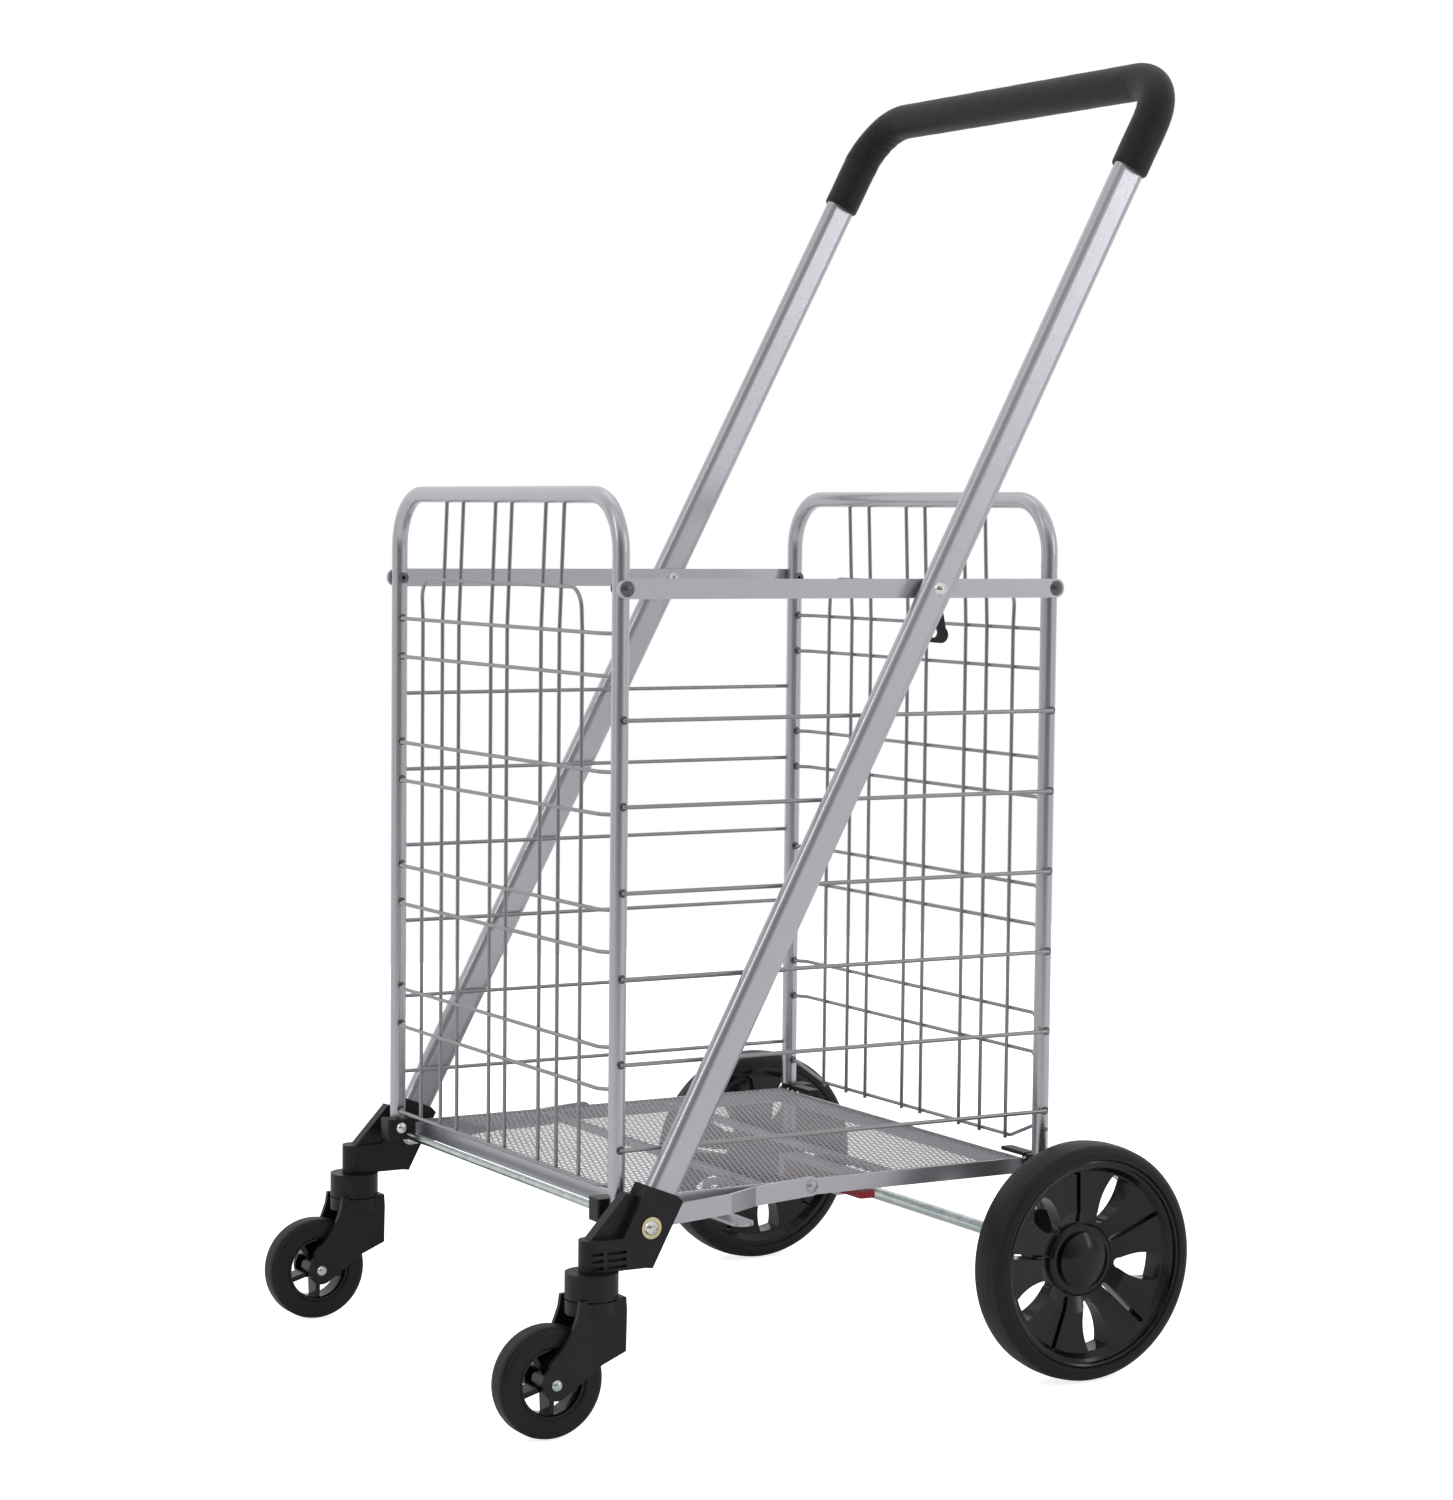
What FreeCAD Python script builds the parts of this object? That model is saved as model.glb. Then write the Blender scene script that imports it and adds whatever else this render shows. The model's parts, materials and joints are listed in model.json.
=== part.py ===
import FreeCAD, Part
import math
import os

# Folding shopping trolley, millimetres. X across, Y from the casters to the big wheels, Z up from the floor.
# "left" is the +X side. Both sides are alike, so most pieces are built on the left and mirrored.

V = FreeCAD.Vector
ACROSS = V(1, 0, 0)
ALONG = V(0, 1, 0)
UP = V(0, 0, 1)

# ---- basket frames: two upside-down U tubes -------------------------------------------------
FRONT_Y = -188.5            # plane of the front frame
DEPTH = 375.0               # front frame to rear frame
REAR_Y = FRONT_Y + DEPTH
POST_X = 190.0
POST_RADIUS = 6.35
POST_WALL = 1.2
FRAME_TOP = 673.5           # centre of the top tube
FRAME_BEND = 42.0
FRONT_LEG_BOTTOM = 150.0
REAR_LEG_BOTTOM = 99.0
POST_INNER = POST_X - POST_RADIUS
POST_OUTER = POST_X + POST_RADIUS

# ---- welded wire panels -----------------------------------------------------------------------
WIRE = 3.0
ROW_TOP = 573.5             # height of the upper wire of the first pair
ROW_PITCH = 100.3           # from pair to pair
ROW_GAP = 30.8              # between the two wires of a pair
ROW_PAIRS = 4
ROW_BOTTOM = 171.0
PANEL_OUTSET = 6.0          # rows stand this far outside the plane of the posts
WELD = 0.5                  # crossing wires sink this far into each other
HOLE_GAP = 0.15             # room round a wire in its drilled hole
COLUMN_X = (14.0, 71.0, 101.0)
HOOP_X = 137.5              # the outermost columns are one upside-down U wire
HOOP_TOP = 606.0
HOOP_BEND = 16.0
JOG_RISE = 14.0             # the rear panel's lowest row climbs this far to its holes

# ---- side wires -------------------------------------------------------------------------------
SIDE_WIRE = 3.2
SIDE_WIRE_X = 198.2
SIDE_WIRE_TOP = 511.5
SIDE_WIRE_PITCH = 62.4
SIDE_WIRE_COUNT = 6
SIDE_WIRE_BEND = 1.9

# ---- flat side bars ---------------------------------------------------------------------------
BAR_Z = 606.0
BAR_INNER = 197.0
BAR_OUTER = 200.0
BAR_HALF = 7.25
HEAD_RADIUS = 5.8
HEAD_HEIGHT = 3.0
RIVET = 2.5                 # shank radius of every rivet and hinge bolt
RIVET_BORE = 1.5
FLARE = 4.4                 # radius of a rivet's rolled inner end
FLARE_LENGTH = 1.5
PIVOT_GAP = 0.08            # running clearance round a pin
FACE_GAP = 0.15             # clearance between a head and the piece that turns under it

# ---- handle -----------------------------------------------------------------------------------
HANDLE_X = 209.8
HANDLE_WIDE = 26.0          # flat oval tube, wide way
HANDLE_THICK = 13.0
HANDLE_WALL = 1.2
HANDLE_RIVET_Y = FRONT_Y + 258.0
BOLT_Y = FRONT_Y + 13.0
BOLT_Z = 146.0
BOLT_RADIUS = 3.0
HANDLE_LEAN = math.atan2(HANDLE_RIVET_Y - BOLT_Y, BAR_Z - BOLT_Z)
HANDLE_TOP = 969.0          # bolt to the middle of the cross piece, along the tube
HANDLE_BEND = 43.0
HANDLE_FOOT = -19.0
GRIP_RADIUS = 15.0
GRIP_START = 885.0
HANDLE_INNER = HANDLE_X - HANDLE_THICK / 2
HANDLE_OUTER = HANDLE_X + HANDLE_THICK / 2

# ---- caster brackets and casters --------------------------------------------------------------
BRACKET_INNER = 200.0
BRACKET_OUTER = 219.6
SWIVEL_Y = FRONT_Y - 30.0
BOX_BOTTOM = 117.0
BOX_TOP = 140.0
COLLAR_RADIUS = 19.5
CROWN_BOTTOM = 87.0
COLLAR_BOTTOM = 99.5
FORK_INNER = 13.2
FORK_OUTER = 16.9
CASTER_RADIUS = 41.0
CASTER_HALF = 11.0
CASTER_RIM = 25.5
CASTER_Y = FRONT_Y - 65.5
CASTER_AXLE = 3.0

# ---- platform ---------------------------------------------------------------------------------
HINGE_Y = FRONT_Y - 3.0     # front hinge line of the platform; the rear one is DEPTH behind it
HINGE_Z = 156.5
DECK_HALF = 183.2
DECK_FRONT = FRONT_Y + 14.0
DECK_REAR = FRONT_Y + 363.0
DECK_TOP = 161.3
DECK_BOTTOM = 149.3
RAIL_WALL = 2.0
RAIL_FLANGE = 12.0
MESH_THICK = 1.6
LUG_INNER = 178.2
LUG_OUTER = 181.2
LUG_RADIUS = 5.8
LUG_REACH = 26.0            # the lugs run this far inside the deck's ends
LINK_RIVET_Y = FRONT_Y + 169.0
LINK_RIVET_Z = 156.5
LINK_FLARE = 3.1            # small, to stay under the mesh
CROSS_BAR_Y = (FRONT_Y + 130.0, FRONT_Y + 245.0)
CROSS_BAR_HALF = 6.0

# ---- pedal and release slide ------------------------------------------------------------------
PEDAL_Y0 = FRONT_Y + 107.0
PEDAL_Y1 = FRONT_Y + 125.0
PEDAL_X = 138.0             # hinge line of the pedal
PEDAL_Z = 146.0
PEDAL_PIN = 2.0
PEDAL_TIP = 181.5
PEDAL_LOW = 130.0
EAR_THICK = 2.0
EAR_GAP = 0.3
SLIDE_Y0 = FRONT_Y + 212.0
SLIDE_Y1 = FRONT_Y + 226.0
SLIDE_LOW = 143.0
SLIDE_HIGH = 146.0
STAPLE_X = (70.0, 150.0)
STAPLE_WIDE = 8.0

# ---- brace links: flat bars with a sideways step ------------------------------------------------
LINK_THICK = 3.0
LINK_INNER_REAR = 183.7
LINK_OUTER_REAR = LINK_INNER_REAR + LINK_THICK
LINK_INNER_FRONT = 192.7
LINK_OUTER_FRONT = LINK_INNER_FRONT + LINK_THICK
JOGGLE_FRONT = FRONT_Y + 94.0
JOGGLE_REAR = FRONT_Y + 120.0
NUT_THICK = 1.3             # thin enough to pass outside the hinge block
NUT_RADIUS = 5.5

# ---- hinge blocks at the foot of the posts ----------------------------------------------------
BLOCK_INNER = 175.0
BLOCK_OUTER = 191.0
BLOCK_BOTTOM = 147.0
BLOCK_TOP = 164.0
BLOCK_FAR = 15.0            # from the post's centre, away from the basket
BLOCK_NEAR = 10.0           # from the front post's centre, towards the basket
BLOCK_NEAR_REAR = 7.0       # the same at the rear post
LUG_SWEEP = 7.8             # room round the hinge line for the turning lug
ROD_RADIUS = 3.0
ROD_Y = FRONT_Y + 3.0
ROD_Z = 150.2

# ---- rear axle and wheels ---------------------------------------------------------------------
WHEEL_RADIUS = 91.8
WHEEL_INNER = 230.9
WHEEL_OUTER = 266.7
RIM_RADIUS = 79.8
AXLE_RADIUS = 5.25
AXLE_Z = WHEEL_RADIUS
HUB_FACE = 248.5            # outer face of the hub, sunk inside the rim
HUB_RADIUS = 25.5
CAP_RADIUS = 21.8
SPOKES = 5
FIRST_SPOKE = 99.0          # direction of one spoke's slit, degrees up from +Y
WINDOW_IN = 31.0            # the windows between the spokes start and end at these radii
WINDOW_OUT = 69.0
WINDOW_HALF = 10.5          # half of a window's widest place
SLIT_IN = 31.0
SLIT_OUT = 70.0
SLIT_HALF = 1.9
HOUSING_INNER = 180.0
HOUSING_OUTER = 197.0
SPACER_END = WHEEL_INNER + 3.7


# ---- helpers ----------------------------------------------------------------------------------
def box(x0, x1, y0, y1, z0, z1):
    return Part.makeBox(x1 - x0, y1 - y0, z1 - z0, V(x0, y0, z0))


def rod_x(radius, x0, x1, y, z):
    return Part.makeCylinder(radius, x1 - x0, V(x0, y, z), ACROSS)


def rod_y(radius, x, y0, y1, z):
    return Part.makeCylinder(radius, y1 - y0, V(x, y0, z), ALONG)


def rod_z(radius, x, y, z0, z1):
    return Part.makeCylinder(radius, z1 - z0, V(x, y, z0), UP)


def ring_x(outer, inner, x0, x1, y, z):
    return rod_x(outer, x0, x1, y, z).cut(rod_x(inner, x0 - 1, x1 + 1, y, z))


def mirrored(shape):
    return shape.mirror(V(0, 0, 0), ACROSS)


def fused(shapes):
    first, *others = shapes
    return first.fuse(others).removeSplitter() if others else first


def slab(points_yz, x0, x1):
    """A plate whose outline is drawn in the Y-Z plane."""
    corners = [V(x0, y, z) for y, z in points_yz]
    return Part.Face(Part.makePolygon(corners + corners[:1])).extrude(V(x1 - x0, 0, 0))


def lengthways(y0, z0, y1, z1, half, x0, x1):
    """A flat bar in the Y-Z plane with half-round ends."""
    run, rise = y1 - y0, z1 - z0
    length = math.hypot(run, rise)
    side_y, side_z = -rise / length * half, run / length * half
    web = slab(
        [
            (y0 + side_y, z0 + side_z),
            (y1 + side_y, z1 + side_z),
            (y1 - side_y, z1 - side_z),
            (y0 - side_y, z0 - side_z),
        ],
        x0,
        x1,
    )
    return fused([web, rod_x(half, x0, x1, y0, z0), rod_x(half, x0, x1, y1, z1)])


def bent_path(points, bend):
    """Straight runs joined by tangent arcs of one radius."""
    edges = []
    start = points[0]
    for before, corner, after in zip(points, points[1:], points[2:]):
        back = (before - corner).normalize()
        ahead = (after - corner).normalize()
        half_angle = back.getAngle(ahead) / 2
        reach = bend / math.tan(half_angle)
        middle = corner + (back + ahead).normalize() * (bend / math.sin(half_angle) - bend)
        arc_start, arc_end = corner + back * reach, corner + ahead * reach
        edges.append(Part.LineSegment(start, arc_start).toShape())
        edges.append(Part.Arc(arc_start, middle, arc_end).toShape())
        start = arc_end
    edges.append(Part.LineSegment(start, points[-1]).toShape())
    return Part.Wire(edges)


def bent_rod(points, bend, radius):
    path = bent_path(points, bend)
    circle = Part.Wire(Part.makeCircle(radius, points[0], points[1] - points[0]))
    return path.makePipeShell([circle], True, False)


def oval_wire(wide, thick, centre):
    """A flat oval in the X-Z plane, its wide way along Z."""
    straight = (wide - thick) / 2
    half = thick / 2
    right, left = V(half, 0, 0), V(-half, 0, 0)
    high, low = V(0, 0, straight), V(0, 0, -straight)
    return Part.Wire(
        [
            Part.LineSegment(centre + right + low, centre + right + high).toShape(),
            Part.Arc(centre + right + high, centre + V(0, 0, wide / 2), centre + left + high).toShape(),
            Part.LineSegment(centre + left + high, centre + left + low).toShape(),
            Part.Arc(centre + left + low, centre - V(0, 0, wide / 2), centre + right + low).toShape(),
        ]
    )


def dome_x(radius, height, x, y, z):
    """A rivet head: a spherical cap that stands on the plane X = x and points to +X."""
    ball = (radius * radius + height * height) / (2 * height)
    centre = x + height - ball
    return Part.makeSphere(ball, V(centre, y, z)).common(rod_x(radius, x, x + height + 1, y, z))


def flared_rivet(y, z, inner_face, outer_face, head, height, flare=FLARE):
    """A tubular rivet along X: dome head outside, rolled hollow end inside."""
    end = inner_face - FLARE_LENGTH
    body = fused(
        [
            rod_x(RIVET, end, outer_face, y, z),
            Part.makeCone(flare, flare - 0.6, FLARE_LENGTH, V(end, y, z), ACROSS),
            dome_x(head, height, outer_face, y, z),
        ]
    )
    return body.cut(rod_x(RIVET_BORE, end - 1, inner_face + 6, y, z))


def both_sides(shape):
    return [shape, mirrored(shape)]


# ---- basket frames ----------------------------------------------------------------------------
def row_heights():
    pairs = [ROW_TOP - ROW_PITCH * pair - gap for pair in range(ROW_PAIRS) for gap in (0.0, ROW_GAP)]
    return pairs + [ROW_BOTTOM]


def side_wire_heights():
    return [SIDE_WIRE_TOP - SIDE_WIRE_PITCH * level for level in range(SIDE_WIRE_COUNT)]


def u_tube(plane_y, leg_bottom):
    """One upside-down U tube, open at the feet."""
    def run(radius, overshoot):
        low = leg_bottom - overshoot
        corners = [(-POST_X, low), (-POST_X, FRAME_TOP), (POST_X, FRAME_TOP), (POST_X, low)]
        return bent_rod([V(x, plane_y, z) for x, z in corners], FRAME_BEND, radius)

    return run(POST_RADIUS, 0).cut(run(POST_RADIUS - POST_WALL, 1))


def post_holes(plane_y, outward, lowest_row):
    """Every drilled hole of one frame: panel rows inside, side wires outside, side bar rivets."""
    holes = []
    for height in row_heights()[:-1] + [lowest_row]:
        holes.append(rod_x(WIRE / 2 + HOLE_GAP, POST_INNER - 1, POST_X, plane_y, height))
    for height in side_wire_heights():
        holes.append(rod_x(SIDE_WIRE / 2 + HOLE_GAP, POST_X, POST_OUTER + 1, plane_y, height))
    holes.append(rod_x(RIVET, POST_INNER - 1, POST_OUTER + 1, plane_y, BAR_Z))
    hinge_y = plane_y + HINGE_Y - FRONT_Y
    holes.append(rod_x(RIVET, POST_INNER - 1, POST_OUTER + 1, hinge_y, HINGE_Z))
    if outward > 0:
        holes.append(rod_x(WIRE / 2 + HOLE_GAP, POST_X, POST_OUTER + 1, plane_y, lowest_row))
    return holes


def frame_tube(plane_y, outward, leg_bottom, lowest_row):
    holes = post_holes(plane_y, outward, lowest_row)
    return u_tube(plane_y, leg_bottom).cut(holes + [mirrored(hole) for hole in holes])


def panel_row(plane_y, outward, height, end_height, end_x):
    """A row wire: out from one post, along the outside of the panel, back into the other post."""
    outset_y = plane_y + outward * PANEL_OUTSET
    bend_x = POST_INNER - 12.0 if end_height == height else HOOP_X + 4.0
    half = [
        V(bend_x, outset_y, height),
        V(POST_INNER - 4.0, plane_y, end_height),
        V(end_x, plane_y, end_height),
    ]
    other_half = [V(-point.x, point.y, point.z) for point in reversed(half)]
    return bent_rod(other_half + half, 3.0, WIRE / 2)


def panel_column(plane_y, outward, x):
    """A column wire: from under the top tube, leaning out to the inside of the rows, then down."""
    outset_y = plane_y + outward * (PANEL_OUTSET - WIRE + WELD)
    top = FRAME_TOP - POST_RADIUS + 0.6
    points = [V(x, plane_y, top), V(x, outset_y, ROW_TOP), V(x, outset_y, ROW_BOTTOM - 2.6)]
    return bent_rod(points, 20.0, WIRE / 2)


def panel_hoop(plane_y, outward):
    """The outermost columns and the cross wire at bar height, bent from one wire."""
    low_y = plane_y + outward * (PANEL_OUTSET - WIRE + WELD)
    hoop_y = plane_y + outward * (PANEL_OUTSET - 1.2)
    half = [
        V(HOOP_X, hoop_y, HOOP_TOP),
        V(HOOP_X, low_y, ROW_TOP),
        V(HOOP_X, low_y, ROW_BOTTOM - 2.6),
    ]
    other_half = [V(-point.x, point.y, point.z) for point in reversed(half)]
    return bent_rod(other_half + half, HOOP_BEND, WIRE / 2)


def wire_panel(plane_y, outward, jog, row_end):
    """All the wires of one panel, welded into one piece."""
    wires = [panel_row(plane_y, outward, z, z, POST_INNER + 3.0) for z in row_heights()[:-1]]
    wires.append(panel_row(plane_y, outward, ROW_BOTTOM, ROW_BOTTOM + jog, row_end))
    wires += [panel_column(plane_y, outward, side * x) for x in COLUMN_X for side in (-1, 1)]
    wires.append(panel_hoop(plane_y, outward))
    top_tube = rod_x(POST_RADIUS, -HOOP_X, HOOP_X, plane_y, FRAME_TOP)
    return wires[0].fuse(wires[1:]).cut(top_tube)


def side_wire(height):
    """A side wire, both ends bent inwards into the posts."""
    inside = POST_X + 1.0
    return bent_rod(
        [
            V(inside, FRONT_Y, height),
            V(SIDE_WIRE_X, FRONT_Y, height),
            V(SIDE_WIRE_X, REAR_Y, height),
            V(inside, REAR_Y, height),
        ],
        SIDE_WIRE_BEND,
        SIDE_WIRE / 2,
    )


def side_bar():
    bar = lengthways(FRONT_Y, BAR_Z, REAR_Y, BAR_Z, BAR_HALF, BAR_INNER, BAR_OUTER)
    holes = [
        rod_x(RIVET + PIVOT_GAP, BAR_INNER - 1, BAR_OUTER + 1, y, BAR_Z)
        for y in (FRONT_Y, HANDLE_RIVET_Y, REAR_Y)
    ]
    return bar.cut(holes)


def bar_rivet(plane_y):
    return flared_rivet(plane_y, BAR_Z, POST_INNER, BAR_OUTER + FACE_GAP, HEAD_RADIUS, HEAD_HEIGHT)


def hinge_bolt(hinge_y):
    """A cap bolt through post, hinge block and platform lug, with a round nut inside."""
    shank = rod_x(RIVET, BLOCK_INNER, POST_OUTER, hinge_y, HINGE_Z)
    head = dome_x(4.4, 2.6, POST_OUTER, hinge_y, HINGE_Z)
    nut = mirrored(dome_x(4.6, 2.6, -BLOCK_INNER, hinge_y, HINGE_Z))
    socket = rod_x(1.6, BLOCK_INNER - 3.0, BLOCK_INNER - 1.2, hinge_y, HINGE_Z)
    return fused([shank, head, nut]).cut(socket)


def hinge_block(plane_y, outward, near, slot_z0, slot_z1):
    """A plastic block that wraps the post's foot and takes the platform lug in a slot."""
    hinge_y = plane_y + HINGE_Y - FRONT_Y
    far_y = plane_y + outward * BLOCK_FAR
    near_y = plane_y - outward * near
    low_y, high_y = min(far_y, near_y), max(far_y, near_y)
    block = box(BLOCK_INNER, BLOCK_OUTER, low_y, high_y, BLOCK_BOTTOM, BLOCK_TOP)
    upright = [edge for edge in block.Edges if abs(edge.tangentAt(edge.FirstParameter).z) > 0.9]
    block = block.makeFillet(2.0, upright)
    slot_y = sorted((hinge_y + outward * LUG_SWEEP, near_y - outward * 1.0))
    slot = box(LUG_INNER - 0.3, LUG_OUTER + 0.3, slot_y[0], slot_y[1], slot_z0, slot_z1)
    post = rod_z(POST_RADIUS, POST_X, plane_y, BLOCK_BOTTOM - 1, BLOCK_TOP + 1)
    bolt = rod_x(RIVET, BLOCK_INNER - 1, BLOCK_OUTER + 1, hinge_y, HINGE_Z)
    return block.cut([slot, post, bolt])


def rear_hinge_block():
    """The rear block has its slot open at the top, and a thin ledge that reaches inwards."""
    ledge = box(146.0, BLOCK_INNER + 1.0, REAR_Y - 6.0, REAR_Y + 4.0, BLOCK_TOP - 3.0, BLOCK_TOP)
    block = hinge_block(REAR_Y, 1, BLOCK_NEAR_REAR, HINGE_Z - LUG_SWEEP, BLOCK_TOP + 1.0)
    return fused([block, ledge])


def foot_plate():
    """The thin steel plate under the front post and its block."""
    return box(182.3, 192.0, FRONT_Y - 12.0, FRONT_Y + 6.0, BLOCK_BOTTOM - 1.5, BLOCK_BOTTOM)


# ---- platform ---------------------------------------------------------------------------------
def platform_lug(hinge_y, reach_y):
    """The flat ear welded inside the side rail, under the mesh, and the cutter for its hinge hole."""
    ear = rod_x(LUG_RADIUS, LUG_INNER, LUG_OUTER, hinge_y, HINGE_Z)
    low_y, high_y = min(hinge_y, reach_y), max(hinge_y, reach_y)
    bar = box(LUG_INNER, LUG_OUTER, low_y, high_y, HINGE_Z - LUG_RADIUS, DECK_TOP - MESH_THICK)
    hole = rod_x(RIVET + PIVOT_GAP, LUG_INNER - 1, LUG_OUTER + 1, hinge_y, HINGE_Z)
    return fused([ear, bar]), hole


def angle_rail_side():
    upright = box(DECK_HALF - RAIL_WALL, DECK_HALF, DECK_FRONT, DECK_REAR, DECK_BOTTOM, DECK_TOP)
    shelf_top = DECK_TOP - MESH_THICK
    shelf = box(
        DECK_HALF - RAIL_FLANGE, DECK_HALF, DECK_FRONT, DECK_REAR, shelf_top - RAIL_WALL, shelf_top
    )
    return fused([upright, shelf])


def angle_rail_end(edge_y, inward):
    wall_y = sorted((edge_y, edge_y + inward * RAIL_WALL))
    shelf_y = sorted((edge_y, edge_y + inward * RAIL_FLANGE))
    shelf_top = DECK_TOP - MESH_THICK
    inside = DECK_HALF - RAIL_WALL
    upright = box(-inside, inside, wall_y[0], wall_y[1], DECK_BOTTOM, DECK_TOP)
    shelf = box(-inside, inside, shelf_y[0], shelf_y[1], shelf_top - RAIL_WALL, shelf_top)
    return fused([upright, shelf])


def platform_frame():
    """Four angle rails, two cross bars, the hinge lugs and the small hangers underneath."""
    front_lug, front_hole = platform_lug(HINGE_Y, DECK_FRONT + LUG_REACH)
    rear_lug, rear_hole = platform_lug(HINGE_Y + DEPTH, DECK_REAR - LUG_REACH)
    shelf_top = DECK_TOP - MESH_THICK
    inside = DECK_HALF - RAIL_WALL
    cross_bars = []
    for y in CROSS_BAR_Y:
        low_y, high_y = y - CROSS_BAR_HALF, y + CROSS_BAR_HALF
        cross_bars.append(box(-inside, inside, low_y, high_y, shelf_top - 3.0, shelf_top))
    rails = both_sides(fused([angle_rail_side(), front_lug, rear_lug]))
    ends = [angle_rail_end(DECK_FRONT, 1), angle_rail_end(DECK_REAR, -1)]
    frame = fused(rails + ends + cross_bars + pedal_hangers() + slide_guides())
    rivet = rod_x(RIVET, inside - 1, DECK_HALF + 1, LINK_RIVET_Y, LINK_RIVET_Z)
    notch = rod_x(LINK_FLARE + 0.4, inside - 3.0, inside, LINK_RIVET_Y, LINK_RIVET_Z)
    cutters = [front_hole, rear_hole, rivet, notch]
    return frame.cut(cutters + [mirrored(cutter) for cutter in cutters])


def platform_mesh():
    gap = 0.1
    x = DECK_HALF - RAIL_WALL - gap
    y0, y1 = DECK_FRONT + RAIL_WALL + gap, DECK_REAR - RAIL_WALL - gap
    return box(-x, x, y0, y1, DECK_TOP - MESH_THICK, DECK_TOP)


def link_rivet():
    inner_face, outer_face = DECK_HALF - RAIL_WALL, LINK_OUTER_REAR + FACE_GAP
    return flared_rivet(LINK_RIVET_Y, LINK_RIVET_Z, inner_face, outer_face, 5.2, 2.8, LINK_FLARE)


# ---- pedal and release slide under the platform -----------------------------------------------
def pedal_hangers():
    """Two ears under the front cross bar that carry the pedal's pin."""
    top = DECK_TOP - MESH_THICK - 1.0
    ears = []
    reach = EAR_GAP + EAR_THICK
    for y0 in (PEDAL_Y0 - reach, PEDAL_Y1 + EAR_GAP):
        y1 = y0 + EAR_THICK
        ear = box(PEDAL_X - 5.0, PEDAL_X + 5.0, y0, y1, PEDAL_Z, top)
        round_end = rod_y(5.0, PEDAL_X, y0, y1, PEDAL_Z)
        hole = rod_y(PEDAL_PIN + PIVOT_GAP, PEDAL_X, y0 - 1, y1 + 1, PEDAL_Z)
        ears.append(fused([ear, round_end]).cut(hole))
    bridge = box(PEDAL_X - 5.0, PEDAL_X + 5.0, PEDAL_Y0 - reach, PEDAL_Y1 + reach, top - 3.0, top)
    return ears + [bridge]


def fold_pedal():
    """A steel tongue that hangs from a pin and points outwards, with its pin."""
    mid = (PEDAL_Y0 + PEDAL_Y1) / 2
    half = (PEDAL_Y1 - PEDAL_Y0) / 2
    pin = rod_y(PEDAL_PIN, PEDAL_X, PEDAL_Y0 - 3.0, PEDAL_Y1 + 3.0, PEDAL_Z)
    barrel = rod_y(4.0, PEDAL_X, PEDAL_Y0, PEDAL_Y1, PEDAL_Z)
    drop = box(PEDAL_X - 1.5, PEDAL_X + 1.0, PEDAL_Y0, PEDAL_Y1, PEDAL_LOW, PEDAL_Z - 2.0)
    tongue = box(PEDAL_X - 1.5, PEDAL_TIP - half, PEDAL_Y0, PEDAL_Y1, PEDAL_LOW, PEDAL_LOW + 2.5)
    tip = rod_z(half, PEDAL_TIP - half, mid, PEDAL_LOW, PEDAL_LOW + 2.5)
    return fused([pin, barrel, drop, tongue, tip])


def slide_guides():
    """Two staples under the platform that the release slide runs in."""
    top = DECK_TOP - MESH_THICK - 1.0
    reach = EAR_GAP + EAR_THICK
    y0, y1 = SLIDE_Y0 - reach, SLIDE_Y1 + reach
    staples = []
    for x in STAPLE_X:
        outer = box(x, x + STAPLE_WIDE, y0, y1, SLIDE_LOW - EAR_THICK, top)
        mouth = box(
            x - 1,
            x + STAPLE_WIDE + 1,
            SLIDE_Y0 - EAR_GAP,
            SLIDE_Y1 + EAR_GAP,
            SLIDE_LOW - EAR_GAP,
            SLIDE_HIGH + EAR_GAP,
        )
        staples.append(outer.cut(mouth))
    strap = box(STAPLE_X[0], DECK_HALF - RAIL_WALL, y0, y1, top - EAR_THICK, top)
    return staples + [strap]


def release_slide():
    """A flat plastic slide with a thicker finger end under the side rail."""
    strip = box(60.0, 178.0, SLIDE_Y0, SLIDE_Y1, SLIDE_LOW, SLIDE_HIGH)
    finger = box(172.0, 187.0, SLIDE_Y0, SLIDE_Y1, SLIDE_LOW, SLIDE_HIGH + 2.5)
    upright = [edge for edge in finger.Edges if abs(edge.tangentAt(edge.FirstParameter).z) > 0.9]
    return fused([strip, finger.makeFillet(2.5, upright)])


# ---- brace links ------------------------------------------------------------------------------
def brace_link():
    """A flat bar with a sideways step, seen from above, cut to its side outline."""
    front, rear = BOLT_Y - 20.0, LINK_RIVET_Y + 20.0
    plan = [
        (LINK_INNER_FRONT, front),
        (LINK_OUTER_FRONT, front),
        (LINK_OUTER_FRONT, JOGGLE_FRONT),
        (LINK_OUTER_REAR, JOGGLE_REAR),
        (LINK_OUTER_REAR, rear),
        (LINK_INNER_REAR, rear),
        (LINK_INNER_REAR, JOGGLE_REAR - 1.5),
        (LINK_INNER_FRONT, JOGGLE_FRONT - 1.5),
    ]
    corners = [V(x, y, BOLT_Z - 30.0) for x, y in plan]
    strip = Part.Face(Part.makePolygon(corners + corners[:1])).extrude(V(0, 0, 80.0))
    outline = lengthways(
        BOLT_Y, BOLT_Z, LINK_RIVET_Y, LINK_RIVET_Z, BAR_HALF, LINK_INNER_REAR - 1, LINK_OUTER_FRONT + 1
    )
    holes = [
        rod_x(RIVET + PIVOT_GAP, LINK_INNER_REAR - 1, LINK_OUTER_REAR + 1, LINK_RIVET_Y, LINK_RIVET_Z),
        rod_x(BOLT_RADIUS, LINK_INNER_FRONT - 1, LINK_OUTER_FRONT + 1, BOLT_Y, BOLT_Z),
    ]
    return strip.common(outline).cut(holes)


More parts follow.
